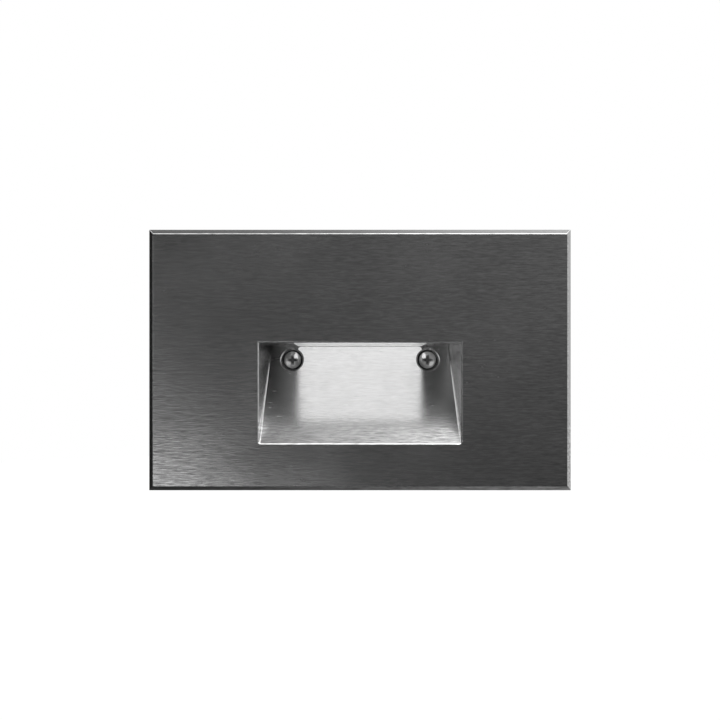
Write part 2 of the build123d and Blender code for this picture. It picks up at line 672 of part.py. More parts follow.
with BuildPart() as lens_gasket:
    with BuildSketch(Plane.XY.offset(LENS_SEAT)):
        with Locations((0, WINDOW_Y)):
            RectangleRounded(LENS_W, LENS_D, LENS_R)
            RectangleRounded(LENS_HOLE_W, LENS_HOLE_D, LENS_R + LENS_PLAY, mode=Mode.SUBTRACT)
    extrude(amount=LENS_GASKET_T)
save(lens_gasket.part, "lens_gasket")

with BuildPart() as lens:
    with BuildSketch(Plane.XY.offset(LENS_Z)):
        with Locations((0, WINDOW_Y)):
            RectangleRounded(LENS_W, LENS_D, LENS_R)
    extrude(amount=LENS_RIM_T)
    with BuildSketch(Plane.XY.offset(LENS_Z)):
        with Locations((0, WINDOW_Y)):
            RectangleRounded(LENS_NOSE_W, LENS_NOSE_D, LENS_R)
    extrude(amount=-LENS_NOSE_H)
save(lens.part, "lens")

with BuildPart() as light_box:
    with BuildSketch(Plane.XY.offset(LIGHT_BOX_Z)):
        with Locations((0, WINDOW_Y)):
            RectangleRounded(LIGHT_BOX_W, LENS_D, LENS_R)
    extrude(amount=LIGHT_BOX_H)
    with BuildSketch(Plane.XY.offset(LIGHT_BOX_Z)):
        with Locations((0, WINDOW_Y)):
            RectangleRounded(LENS_NOSE_W, LENS_NOSE_D, LENS_R)
    extrude(amount=LIGHT_BOX_H, taper=LIGHT_BOX_TAPER, mode=Mode.SUBTRACT)
    with BuildSketch(Plane.XY.offset(LED_BOARD_Z)):
        with Locations(*LED_SCREWS):
            Circle(LED_SCREW_HEAD_D / 2 + HOLE_PLAY)
    extrude(amount=-LED_SCREW_HEAD_H - TIP_GAP, mode=Mode.SUBTRACT)
save(light_box.part, "light_box")

with BuildPart() as led_board:
    with BuildSketch(Plane.XY.offset(LED_BOARD_Z)):
        with Locations((0, LED_BOARD_Y)):
            RectangleRounded(LIGHT_BOX_W, LED_BOARD_D, LENS_R)
        with Locations(*LED_SCREWS):
            Circle(LED_SCREW_D / 2 + HOLE_PLAY, mode=Mode.SUBTRACT)
    extrude(amount=LED_BOARD_T)
save(led_board.part, "led_board")

with BuildPart() as leds:
    with BuildSketch(Plane.XY.offset(LED_BOARD_Z)):
        with Locations((0, WINDOW_Y)):
            with GridLocations(LED_PITCH, 1, LED_COUNT, 1):
                Rectangle(LED_W, LED_D)
    extrude(amount=-LED_H)
save(leds.part, "leds")

led_screw = cross_head_screw(
    LED_SCREW_HEAD_D, LED_SCREW_HEAD_H, LED_SCREW_D, LED_SCREW_L, LED_SCREW_HEAD_D * 0.55
)
with BuildPart() as led_board_screws:
    for spot in LED_SCREWS:
        add(led_screw.moved(Location((*spot, LED_BOARD_Z), FACING_DOWN)))
save(led_board_screws.part, "led_board_screws")

with BuildPart() as thermal_pad:
    with BuildSketch(Plane.XY.offset(PAD_Z)):
        with Locations((0, WINDOW_Y)):
            Rectangle(PAD_W, LENS_NOSE_D)
    extrude(amount=PAD_T)
save(thermal_pad.part, "thermal_pad")

LEG_BOTTOM = BRACKET_SCREW_Z - BRACKET_LEG_END
LEG_HEIGHT = BRACKET_TOP - LEG_BOTTOM
with BuildPart() as led_bracket:
    with BuildSketch(Plane.XY.offset(BRACKET_Z)):
        with Locations((0, (ENGINE_FRONT + BRACKET_BACK) / 2)):
            Rectangle(LIGHT_BOX_W, BRACKET_BACK - ENGINE_FRONT)
    extrude(amount=BRACKET_T)
    with BuildSketch(depth(BRACKET_BACK)):
        with Locations((0, LEG_BOTTOM + LEG_HEIGHT / 2)):
            Rectangle(BRACKET_LEG_W, LEG_HEIGHT)
    extrude(amount=BRACKET_T)
    with BuildSketch(depth(BRACKET_BACK + CUT)):
        with Locations((0, LEAD_Z)):
            RectangleRounded(
                2 * (LEAD_X + LEAD_D / 2 + LEAD_PLAY), LEAD_D + 2 * LEAD_PLAY, LEAD_PLAY
            )
        with Locations(*BRACKET_SCREWS):
            Circle(BRACKET_SCREW_D / 2 + HOLE_PLAY)
    extrude(amount=BRACKET_T + 2 * CUT, mode=Mode.SUBTRACT)
    with BuildSketch(Plane.XY.offset(BRACKET_Z)):
        with Locations(*LED_SCREWS):
            Circle(LED_SCREW_D / 2)
    extrude(amount=BRACKET_T, mode=Mode.SUBTRACT)
save(led_bracket.part, "led_bracket")

bracket_screw = cross_head_screw(
    BRACKET_SCREW_HEAD_D,
    BRACKET_SCREW_HEAD_H,
    BRACKET_SCREW_D,
    BRACKET_T + BRACKET_THREAD,
    BRACKET_SCREW_HEAD_D * 0.55,
)
with BuildPart() as led_bracket_screws:
    for x, z in BRACKET_SCREWS:
        add(bracket_screw.moved(Location((x, BRACKET_BACK, z), FACING_BACK)))
save(led_bracket_screws.part, "led_bracket_screws")

for name, x in (("led_lead_negative", -LEAD_X), ("led_lead_positive", LEAD_X)):
    bend_top = (x, LEAD_Y, LEAD_Z + LEAD_BEND)
    bend_end = (x, LEAD_Y + LEAD_BEND, LEAD_Z)
    with BuildPart() as lead:
        with BuildLine() as lead_route:
            Line((x, LEAD_Y, LED_BOARD_Z), bend_top)
            TangentArc(bend_top, bend_end, tangent=(0, 0, -1))
            Line(bend_end, (x, BOARD_FRONT, LEAD_Z))
        with BuildSketch(Plane.XY.offset(LED_BOARD_Z)):
            with Locations((x, LEAD_Y)):
                Circle(LEAD_D / 2)
        sweep(path=lead_route.line)
    save(lead.part, name)

# ---------------------------------------------------------------- driver board

with BuildPart() as driver_board:
    with BuildSketch(depth(BOARD_BACK)):
        with Locations((0, BOARD_Z)):
            Rectangle(BOARD_W, BOARD_H)
        with Locations(*FACE_SCREWS):
            Circle(THREAD_BOSS_R + BOARD_HOLE_PLAY, mode=Mode.SUBTRACT)
        with Locations(*BOARD_SCREWS):
            Circle(BOARD_SCREW_D / 2 + HOLE_PLAY, mode=Mode.SUBTRACT)
    extrude(amount=BOARD_T)
save(driver_board.part, "driver_board")

board_screw = cross_head_screw(
    BRACKET_SCREW_HEAD_D,
    BRACKET_SCREW_HEAD_H,
    BOARD_SCREW_D,
    BOARD_T + BOARD_SCREW_L - TIP_GAP,
    BRACKET_SCREW_HEAD_D * 0.55,
)
with BuildPart() as driver_board_screws:
    for x, z in BOARD_SCREWS:
        add(board_screw.moved(Location((x, BOARD_BACK, z), FACING_BACK)))
save(driver_board_screws.part, "driver_board_screws")

with BuildPart() as bulk_capacitor:
    with BuildSketch(depth(BOARD_FRONT)):
        with Locations(CAP_SPOT):
            Circle(CAP_D / 2)
    extrude(amount=CAP_L)
    fillet(bulk_capacitor.faces().sort_by(Axis.Y)[0].edges(), CAP_D * 0.06)
save(bulk_capacitor.part, "bulk_capacitor")

save(plain_prism(FILM_W, FILM_H, FILM_L, FILM_SPOT, BOARD_FRONT), "film_capacitor")

with BuildPart() as inductor_core:
    with BuildSketch(depth(BOARD_FRONT)):
        with Locations(COIL_SPOT):
            Circle(COIL_D / 2)
    extrude(amount=COIL_FLANGE_T)
    with BuildSketch(depth(BOARD_FRONT)):
        with Locations(COIL_SPOT):
            Circle(COIL_CORE_D / 2)
    extrude(amount=COIL_L)
    with BuildSketch(depth(BOARD_FRONT - COIL_L + COIL_FLANGE_T)):
        with Locations(COIL_SPOT):
            Circle(COIL_D / 2)
    extrude(amount=COIL_FLANGE_T)
save(inductor_core.part, "inductor_core")

with BuildPart() as inductor_winding:
    with BuildSketch(depth(BOARD_FRONT - COIL_FLANGE_T)):
        with Locations(COIL_SPOT):
            Circle(COIL_D / 2 - HOLE_PLAY)
            Circle(COIL_CORE_D / 2, mode=Mode.SUBTRACT)
    extrude(amount=COIL_L - 2 * COIL_FLANGE_T)
save(inductor_winding.part, "inductor_winding")

save(plain_prism(BRIDGE_W, BRIDGE_H, BRIDGE_L, BRIDGE_SPOT, BOARD_FRONT), "bridge_rectifier")
transistor = plain_prism(TRANSISTOR_W, TRANSISTOR_H, TRANSISTOR_L, TRANSISTOR_SPOT, BOARD_FRONT)
save(transistor, "switching_transistor")

with BuildPart() as driver_chip:
    with BuildSketch(depth(BOARD_FRONT)):
        with Locations(CHIP_SPOT):
            Rectangle(CHIP_W, CHIP_H)
    extrude(amount=CHIP_L)
    with BuildSketch(depth(BOARD_FRONT)):
        with Locations(CHIP_SPOT):
            with GridLocations(PIN_PITCH, 1, 4, 1):
                Rectangle(PIN_W, CHIP_H + 2 * PIN_REACH)
    extrude(amount=PIN_W)
save(driver_chip.part, "driver_chip")

with BuildPart() as varistor:
    with BuildSketch(Plane.XY.offset(VARISTOR_SPOT[1] - VARISTOR_T / 2)):
        with Locations((VARISTOR_SPOT[0], BOARD_BACK + COMPONENT_LEG_L + VARISTOR_D / 2)):
            Circle(VARISTOR_D / 2)
    extrude(amount=VARISTOR_T)
    fillet(varistor.edges().filter_by(GeomType.CIRCLE), VARISTOR_T * 0.3)
    with BuildSketch(depth(BOARD_BACK)):
        with Locations(VARISTOR_SPOT):
            with GridLocations(VARISTOR_D * 0.5, 1, 2, 1):
                Circle(COMPONENT_LEG_D / 2)
    extrude(amount=-COMPONENT_LEG_L - VARISTOR_D / 2)
save(varistor.part, "varistor")

with BuildPart() as fuse:
    with BuildSketch(depth(BOARD_BACK)):
        with Locations(FUSE_SPOT):
            Circle(FUSE_D / 2)
    extrude(amount=-FUSE_L)
    chamfer(fuse.faces().sort_by(Axis.Y)[-1].edges(), FUSE_D * 0.06)
save(fuse.part, "fuse")

# ---------------------------------------------------------------- terminal block

BLOCK_BACK = BOARD_BACK + BLOCK_L
FIRST_POLE = BLOCK_SPOT[0] - (POLE_COUNT - 1) / 2 * POLE_PITCH
POLES = [(FIRST_POLE + i * POLE_PITCH, BLOCK_SPOT[1]) for i in range(POLE_COUNT)]
CLAMP_BACK = BLOCK_BACK - POLE_ROOM_L + CLAMP_L

with BuildPart() as terminal_block:
    with BuildSketch(depth(BOARD_BACK)):
        with Locations(BLOCK_SPOT):
            Rectangle(POLE_COUNT * POLE_PITCH, BLOCK_H)
    extrude(amount=-BLOCK_L)
    with BuildSketch(depth(BLOCK_BACK)):
        with Locations(*POLES):
            Rectangle(POLE_ROOM, POLE_ROOM_H)
    extrude(amount=POLE_ROOM_L, mode=Mode.SUBTRACT)
    with BuildSketch(Plane.XY.offset(BLOCK_SPOT[1] - BLOCK_H / 2 - CUT)):
        with Locations(*[(x, CLAMP_BACK - CLAMP_L / 2) for x, z in POLES]):
            Circle(CLAMP_WIRE_D / 2 + HOLE_PLAY)
    extrude(amount=BLOCK_H / 2 + CUT, mode=Mode.SUBTRACT)
save(terminal_block.part, "terminal_block")

with BuildPart() as terminal_clamps:
    with BuildSketch(depth(CLAMP_BACK)):
        with Locations(*POLES):
            Rectangle(POLE_ROOM - 2 * CLAMP_PLAY, POLE_ROOM_H - 2 * CLAMP_PLAY)
            Circle(TERMINAL_SCREW_D / 2, mode=Mode.SUBTRACT)
    extrude(amount=CLAMP_L)
    with BuildSketch(Plane.XY.offset(BLOCK_SPOT[1] - BLOCK_H)):
        with Locations(*[(x, CLAMP_BACK - CLAMP_L / 2) for x, z in POLES]):
            Circle(CLAMP_WIRE_D / 2)
    extrude(amount=2 * BLOCK_H, mode=Mode.SUBTRACT)
save(terminal_clamps.part, "terminal_clamps")

TERMINAL_HEAD_D = POLE_ROOM - 2 * TERMINAL_HEAD_GAP
terminal_screw = cross_head_screw(
    TERMINAL_HEAD_D, TERMINAL_HEAD_H, TERMINAL_SCREW_D, CLAMP_L - TERMINAL_SCREW_END, TERMINAL_HEAD_D * 0.55
)
with BuildPart() as terminal_screws:
    for x, z in POLES:
        add(terminal_screw.moved(Location((x, CLAMP_BACK, z), FACING_BACK)))
save(terminal_screws.part, "terminal_screws")

# ---------------------------------------------------------------- earth connection

BARREL_Y = EARTH_BOSS_BACK + BARREL_D / 2
with BuildPart() as earth_lug:
    with BuildSketch(depth(EARTH_BOSS_BACK)):
        with Locations((EARTH_X, EARTH_Z)):
            Circle(LUG_D / 2)
        with Locations((EARTH_X - LUG_D / 2, EARTH_Z)):
            Rectangle(LUG_D / 4, BARREL_D)
        with Locations((EARTH_X, EARTH_Z)):
            Circle(EARTH_D / 2 + HOLE_PLAY, mode=Mode.SUBTRACT)
    extrude(amount=-LUG_T)
    with BuildSketch(Plane.YZ.offset(EARTH_X - LUG_REACH)):
        with Locations((BARREL_Y, EARTH_Z)):
            Circle(BARREL_D / 2)
    extrude(amount=LUG_REACH - LUG_D / 2)
save(earth_lug.part, "earth_lug")

earth_screw_shape = cross_head_screw(
    EARTH_HEAD_D, EARTH_HEAD_H, EARTH_D, LUG_T + EARTH_THREAD, EARTH_HEAD_D * 0.55
)
with BuildPart() as earth_screw:
    add(earth_screw_shape.moved(Location((EARTH_X, EARTH_BOSS_BACK + LUG_T, EARTH_Z), FACING_BACK)))
save(earth_screw.part, "earth_screw")

turn_down = (EARTH_LEAD_X + EARTH_BEND, BARREL_Y, EARTH_Z)
run_down = (EARTH_LEAD_X, BARREL_Y, EARTH_Z - EARTH_BEND)
turn_in = (EARTH_LEAD_X, BARREL_Y, EARTH_LEAD_Z + EARTH_BEND)
run_in = (EARTH_LEAD_X, BARREL_Y - EARTH_BEND, EARTH_LEAD_Z)
with BuildPart() as earth_lead:
    with BuildLine() as earth_route:
        Line((EARTH_X - LUG_REACH, BARREL_Y, EARTH_Z), turn_down)
        TangentArc(turn_down, run_down, tangent=(-1, 0, 0))
        Line(run_down, turn_in)
        TangentArc(turn_in, run_in, tangent=(0, 0, -1))
        Line(run_in, (EARTH_LEAD_X, BOARD_BACK, EARTH_LEAD_Z))
    with BuildSketch(Plane.YZ.offset(EARTH_X - LUG_REACH)):
        with Locations((BARREL_Y, EARTH_Z)):
            Circle(EARTH_LEAD_D / 2)
    sweep(path=earth_route.line)
save(earth_lead.part, "earth_lead")

# ---------------------------------------------------------------- rear closure

with BuildPart() as rear_cover_gasket:
    with BuildSketch(depth(COVER_FRONT)):
        RectangleRounded(SHELL_W, SHELL_H, SHELL_R)
        Rectangle(DRY_W, DRY_H, mode=Mode.SUBTRACT)
        with Locations(*COVER_SCREWS):
            Rectangle(POST_W, POST_H)
            Circle(COVER_SCREW_D / 2, mode=Mode.SUBTRACT)
    extrude(amount=REAR_GASKET_T)
save(rear_cover_gasket.part, "rear_cover_gasket")

with BuildPart() as rear_cover:
    with BuildSketch(depth(COVER_BACK)):
        RectangleRounded(SHELL_W, SHELL_H, SHELL_R)
        with Locations(*COVER_SCREWS):
            Circle(COVER_SCREW_D / 2 + HOLE_PLAY, mode=Mode.SUBTRACT)
        with Locations(GROMMET_SPOT):
            Circle(GROMMET_HOLE_D / 2, mode=Mode.SUBTRACT)
    extrude(amount=COVER_T)
save(rear_cover.part, "rear_cover")

cover_screw = cross_head_screw(
    COVER_HEAD_D,
    COVER_HEAD_H,
    COVER_SCREW_D,
    COVER_T + REAR_GASKET_T + COVER_SCREW_L - TIP_GAP,
    COVER_HEAD_D * 0.55,
)
with BuildPart() as rear_cover_screws:
    for x, z in COVER_SCREWS:
        add(cover_screw.moved(Location((x, COVER_BACK, z), FACING_BACK)))
save(rear_cover_screws.part, "rear_cover_screws")

with BuildPart() as insulation_sheet:
    with BuildSketch(depth(COVER_FRONT)):
        RectangleRounded(SHEET_W, SHEET_H, SHELL_R)
        with Locations(GROMMET_SPOT):
            Circle(GROMMET_FLANGE_D / 2 + SHEET_PLAY, mode=Mode.SUBTRACT)
    extrude(amount=SHEET_T)
save(insulation_sheet.part, "insulation_sheet")

with BuildPart() as supply_grommet:
    for back, thickness, radius in (
        (COVER_FRONT, GROMMET_FLANGE_T, GROMMET_FLANGE_D / 2),
        (COVER_BACK, COVER_T, GROMMET_HOLE_D / 2),
        (COVER_BACK + GROMMET_FLANGE_T, GROMMET_FLANGE_T, GROMMET_FLANGE_D / 2),
    ):
        with BuildSketch(depth(back)):
            with Locations(GROMMET_SPOT):
                Circle(radius)
        extrude(amount=thickness)
    with BuildSketch(depth(COVER_BACK + GROMMET_FLANGE_T)):
        with Locations(GROMMET_SPOT):
            Circle(GROMMET_BORE_D / 2)
    extrude(amount=COVER_T + 2 * GROMMET_FLANGE_T, mode=Mode.SUBTRACT)
save(supply_grommet.part, "supply_grommet")
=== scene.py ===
import json
from math import atan2, cos, hypot, pi, radians, sin

import bmesh
import bpy
from mathutils import Matrix, Vector


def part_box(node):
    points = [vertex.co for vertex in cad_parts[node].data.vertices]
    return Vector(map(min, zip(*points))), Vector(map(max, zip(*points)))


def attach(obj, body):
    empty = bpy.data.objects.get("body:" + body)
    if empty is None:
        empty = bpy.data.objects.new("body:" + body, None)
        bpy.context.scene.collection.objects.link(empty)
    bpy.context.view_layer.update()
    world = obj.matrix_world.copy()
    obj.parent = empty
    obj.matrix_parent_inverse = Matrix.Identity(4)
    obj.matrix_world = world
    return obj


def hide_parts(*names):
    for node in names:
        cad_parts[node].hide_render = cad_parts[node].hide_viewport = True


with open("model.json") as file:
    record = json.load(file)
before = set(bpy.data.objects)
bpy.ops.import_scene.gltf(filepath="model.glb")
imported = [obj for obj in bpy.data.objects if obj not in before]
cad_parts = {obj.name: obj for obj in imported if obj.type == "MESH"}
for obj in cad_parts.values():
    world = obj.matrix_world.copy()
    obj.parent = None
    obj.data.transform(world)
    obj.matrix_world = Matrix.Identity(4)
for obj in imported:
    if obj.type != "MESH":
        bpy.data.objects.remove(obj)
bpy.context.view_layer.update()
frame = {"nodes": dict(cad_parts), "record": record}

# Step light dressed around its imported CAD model. Everything is in metres: the wall is the plane Y = 0, the
# viewer stands at -Y, +Z is up and +X is to the viewer's right.
MM = 0.001
PLATE_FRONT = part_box("faceplate")[0].y

# ---------------------------------------------------------------- camera, as the photograph was taken

PHOTO_W = 720
PHOTO_MM_PER_PIXEL = 0.2999      # at the plate's front, from the plate's real width
FOCAL = 50.0
SENSOR = 36.0
VIEW_W = PHOTO_W * PHOTO_MM_PER_PIXEL * MM
CAMERA_AWAY = VIEW_W * FOCAL / SENSOR
NEAREST, FARTHEST = 0.01, 20.0   # that the camera sees


def photo_camera():
    """Camera straight in front of the plate's middle, level."""
    data = bpy.data.cameras.new("photo_camera")
    data.lens = FOCAL
    data.sensor_width = SENSOR
    data.clip_start = NEAREST
    data.clip_end = FARTHEST
    camera = bpy.data.objects.new("photo_camera", data)
    camera.location = (0.0, PLATE_FRONT - CAMERA_AWAY, 0.0)
    camera.rotation_euler = (radians(90), 0.0, 0.0)
    bpy.context.scene.collection.objects.link(camera)
    bpy.context.scene.camera = camera


# ---------------------------------------------------------------- short calls for node trees

def feed(tree, socket, value):
    """Link value to the socket if it is another node's output, and otherwise set it."""
    if isinstance(value, bpy.types.NodeSocket):
        tree.links.new(value, socket)
    else:
        socket.default_value = value


def add(tree, kind, inputs=None, **settings):
    """New node of that kind, with its settings and its inputs by name or number."""
    made = tree.nodes.new(kind)
    for name, value in settings.items():
        setattr(made, name, value)
    for key, value in (inputs or {}).items():
        feed(tree, made.inputs[key], value)
    return made


def math(tree, operation, *values, clamp=False):
    """Output of one math node."""
    inputs = dict(enumerate(values))
    return add(tree, "ShaderNodeMath", inputs, operation=operation, use_clamp=clamp).outputs[0]


def vector_math(tree, operation, *values):
    """The node, because its output depends on the operation."""
    return add(tree, "ShaderNodeVectorMath", dict(enumerate(values)), operation=operation)


def remap(tree, value, low, high, to_low=0.0, to_high=1.0, smooth=False):
    """Value's range low..high turned into to_low..to_high, held at both ends."""
    kind = "SMOOTHSTEP" if smooth else "LINEAR"
    inputs = {"Value": value, "From Min": low, "From Max": high, "To Min": to_low, "To Max": to_high}
    return add(tree, "ShaderNodeMapRange", inputs, interpolation_type=kind, clamp=True).outputs["Result"]


def blend(tree, share, first, second):
    """Number between first and second."""
    return add(tree, "ShaderNodeMix", {0: share, 2: first, 3: second}, data_type="FLOAT").outputs[0]


def blend_colours(tree, share, first, second):
    """Colour between first and second."""
    return add(tree, "ShaderNodeMix", {0: share, 6: first, 7: second}, data_type="RGBA").outputs[2]


def rgb(red, green, blue):
    """Opaque colour of those linear values."""
    return (red, green, blue, 1.0)


def grey(value):
    """Neutral colour with that linear value."""
    return rgb(value, value, value)


def new_group(name, inputs, outputs):
    """Empty shader group with named float inputs and outputs, and its two end nodes."""
    tree = bpy.data.node_groups.new(name, "ShaderNodeTree")
    for label, value in inputs.items():
        socket = tree.interface.new_socket(label, in_out="INPUT", socket_type="NodeSocketFloat")
        socket.default_value = value
    for label in outputs:
        tree.interface.new_socket(label, in_out="OUTPUT", socket_type="NodeSocketFloat")
    return tree, tree.nodes.new("NodeGroupInput").outputs, tree.nodes.new("NodeGroupOutput").inputs


def place_group(tree, group, **inputs):
    """Outputs of a group placed in the tree with those inputs."""
    placed = tree.nodes.new("ShaderNodeGroup")
    placed.node_tree = group
    for label, value in inputs.items():
        feed(tree, placed.inputs[label], value)
    return placed.outputs


# ---------------------------------------------------------------- shared surface effects

DRIFT_SCALE = 260.0              # of the noise that bends the streaks
FINE_SHARE, BROAD_SHARE = 0.6, 0.4
BROAD_SCALE = (0.35, 0.45, 0.45)    # of the broad streaks, against the fine ones
SHADE_LOW, SHADE_HIGH = 0.3, 0.7    # of the noise that gives the darkest and the lightest streak
CLOUD_SCALE = 38.0               # of the brushing's wide mottling
CLOUD_LOW, CLOUD_HIGH = 0.35, 0.65
SPECK_LOW, SPECK_HIGH = 0.55, 0.75
PEBBLE_SHARE = -0.6              # pebbles stand up where their centres are near
ON_FLAT, ON_EDGE = 0.995, 0.86   # how alike the true and the rounded normal are there
WORN_LOW, WORN_HIGH = 0.35, 0.6  # of the noise that breaks up a worn edge


def brushing_group():
    """Short wavy streaks along X, as an abrasive belt leaves them."""
    inputs = {"Along": 300.0, "Across": 2300.0, "Wander": 0.00004}
    tree, given, made = new_group("brushing", inputs, ("Shade", "Height", "Cloud"))
    place = add(tree, "ShaderNodeTexCoord").outputs["Object"]
    drift = add(tree, "ShaderNodeTexNoise", {"Vector": place, "Scale": DRIFT_SCALE, "Detail": 2.0})
    centred = vector_math(tree, "SUBTRACT", drift.outputs["Color"], (0.5, 0.5, 0.5)).outputs["Vector"]
    bent = vector_math(tree, "SCALE", centred)
    feed(tree, bent.inputs["Scale"], given["Wander"])
    moved = vector_math(tree, "ADD", place, bent.outputs["Vector"]).outputs["Vector"]
    sizes = {0: given["Along"], 1: given["Across"], 2: given["Across"]}
    scale = add(tree, "ShaderNodeCombineXYZ", sizes).outputs[0]
    thin = vector_math(tree, "MULTIPLY", moved, scale).outputs["Vector"]
    fine = add(tree, "ShaderNodeTexNoise", {"Vector": thin, "Scale": 1.0, "Detail": 1.0, "Roughness": 0.4})
    slowed = vector_math(tree, "MULTIPLY", moved, BROAD_SCALE).outputs["Vector"]
    wide = vector_math(tree, "MULTIPLY", slowed, scale).outputs["Vector"]
    broad = add(tree, "ShaderNodeTexNoise", {"Vector": wide, "Scale": 1.0, "Detail": 2.0})
    both = math(tree, "ADD", math(tree, "MULTIPLY", fine.outputs["Fac"], FINE_SHARE),
                math(tree, "MULTIPLY", broad.outputs["Fac"], BROAD_SHARE))
    feed(tree, made["Shade"], remap(tree, both, SHADE_LOW, SHADE_HIGH))
    feed(tree, made["Height"], both)
    cloud = add(tree, "ShaderNodeTexNoise", {"Vector": place, "Scale": CLOUD_SCALE, "Detail": 3.0})
    feed(tree, made["Cloud"], remap(tree, cloud.outputs["Fac"], CLOUD_LOW, CLOUD_HIGH, smooth=True))
    return tree


def grain_group():
    """Fine pebble of a textured coating, a moulding or a casting, with wider mottling."""
    inputs = {"Size": 0.4 * MM, "Mottle": 12 * MM}
    tree, given, made = new_group("grain", inputs, ("Height", "Speck", "Cloud"))
    place = add(tree, "ShaderNodeTexCoord").outputs["Object"]
    fine_scale = math(tree, "DIVIDE", 1.0, given["Size"])
    settings = {"Vector": place, "Scale": fine_scale, "Smoothness": 0.6}
    pebble = add(tree, "ShaderNodeTexVoronoi", settings, feature="SMOOTH_F1").outputs["Distance"]
    noise = add(tree, "ShaderNodeTexNoise", {"Vector": place, "Scale": fine_scale, "Detail": 3.0})
    raised = math(tree, "MULTIPLY", pebble, PEBBLE_SHARE)
    feed(tree, made["Height"], math(tree, "ADD", raised, noise.outputs["Fac"]))
    feed(tree, made["Speck"], remap(tree, noise.outputs["Fac"], SPECK_LOW, SPECK_HIGH))
    wide_scale = math(tree, "DIVIDE", 1.0, given["Mottle"])
    wide = add(tree, "ShaderNodeTexNoise", {"Vector": place, "Scale": wide_scale, "Detail": 4.0})
    feed(tree, made["Cloud"], remap(tree, wide.outputs["Fac"], CLOUD_LOW, CLOUD_HIGH, smooth=True))
    return tree


def edge_group():
    """How near a point is to an outer or inner edge: 1 on the edge, 0 on a flat."""
    tree, given, made = new_group("edge_wear", {"Reach": 0.4 * MM, "Breakup": 900.0}, ("Edge",))
    rounded = add(tree, "ShaderNodeBevel", {"Radius": given["Reach"]}, samples=6).outputs["Normal"]
    true = add(tree, "ShaderNodeNewGeometry").outputs["True Normal"]
    same = vector_math(tree, "DOT_PRODUCT", rounded, true).outputs["Value"]
    turned = remap(tree, same, ON_FLAT, ON_EDGE)
    place = add(tree, "ShaderNodeTexCoord").outputs["Object"]
    patchy = add(tree, "ShaderNodeTexNoise", {"Vector": place, "Scale": given["Breakup"], "Detail": 3.0})
    broken = remap(tree, patchy.outputs["Fac"], WORN_LOW, WORN_HIGH)
    feed(tree, made["Edge"], math(tree, "MULTIPLY", turned, broken))
    return tree


BRUSHING = brushing_group()
GRAIN = grain_group()
EDGE_WEAR = edge_group()


# ---------------------------------------------------------------- materials

ROUGH_SPREAD = 0.05              # of the roughness, up and down, over a surface
STREAK_DEPTH = 0.05 * MM         # of brushing in the bump
PEBBLE_DEPTH = 0.1 * MM          # of a coating's or a moulding's grain
SANDED_DEPTH = 0.02 * MM         # of the frosting
CALM = 0.8                       # how much of the streaks' contrast is missing inside the scoop,
CALM_FROM = -20.5 * MM           # from which height up,
CALM_RISE = 3.5 * MM             # over which height it sets in,
SCOOP_FROM, SCOOP_FULL = 0.1 * MM, 0.6 * MM     # and where, behind the plate's front
RECESS = "recess"                # attribute: how deep a point lies in a screw's cross, which sets the painted shade there
# painted shade inside a screw's cross recess: how much of it, and its grey
RECESS_SHADE_SHARE, RECESS_SHADE_GREY = 0.75, 0.02
SPECK_SHARE = 0.25               # of the lighter colour in the grain's specks
WEAR_SHARE, WEAR_REACH = 0.6, 0.35 * MM
COAT_ROUGH = 0.15
ACRYLIC_IOR = 1.49


def new_material(name):
    """Material with one Principled shader, its tree and that shader."""
    material = bpy.data.materials.new(name)
    material.use_nodes = True
    tree = material.node_tree
    return material, tree, tree.nodes["Principled BSDF"]


def bump(tree, height, strength, distance):
    """Normal made by that height."""
    inputs = {"Strength": strength, "Distance": distance, "Height": height}
    return add(tree, "ShaderNodeBump", inputs).outputs["Normal"]


def brushed_metal(name, dark, light, rough, streak, along=300.0, across=2300.0):
    """Metal with fine brushing along X between two greys, calmer in the upper part of the scoop."""
    material, tree, shader = new_material(name)
    grain = place_group(tree, BRUSHING, Along=along, Across=across)
    place = add(tree, "ShaderNodeTexCoord").outputs["Object"]
    parts = add(tree, "ShaderNodeSeparateXYZ", {0: place}).outputs
    behind = remap(tree, parts["Y"], PLATE_FRONT + SCOOP_FROM, PLATE_FRONT + SCOOP_FULL, 0.0, CALM)
    high_up = remap(tree, parts["Z"], CALM_FROM, CALM_FROM + CALM_RISE)
    shade = blend(tree, math(tree, "MULTIPLY", behind, high_up), grain["Shade"], 0.5)
    feed(tree, shader.inputs["Base Color"], blend_colours(tree, shade, dark, light))
    shader.inputs["Metallic"].default_value = 1.0
    in_streaks = remap(tree, grain["Shade"], 0.0, 1.0, rough + ROUGH_SPREAD, rough - ROUGH_SPREAD)
    roughness = math(tree, "ADD", in_streaks, math(tree, "MULTIPLY", grain["Cloud"], 0.03))
    feed(tree, shader.inputs["Roughness"], roughness)
    feed(tree, shader.inputs["Normal"], bump(tree, grain["Height"], streak, STREAK_DEPTH))
    return material


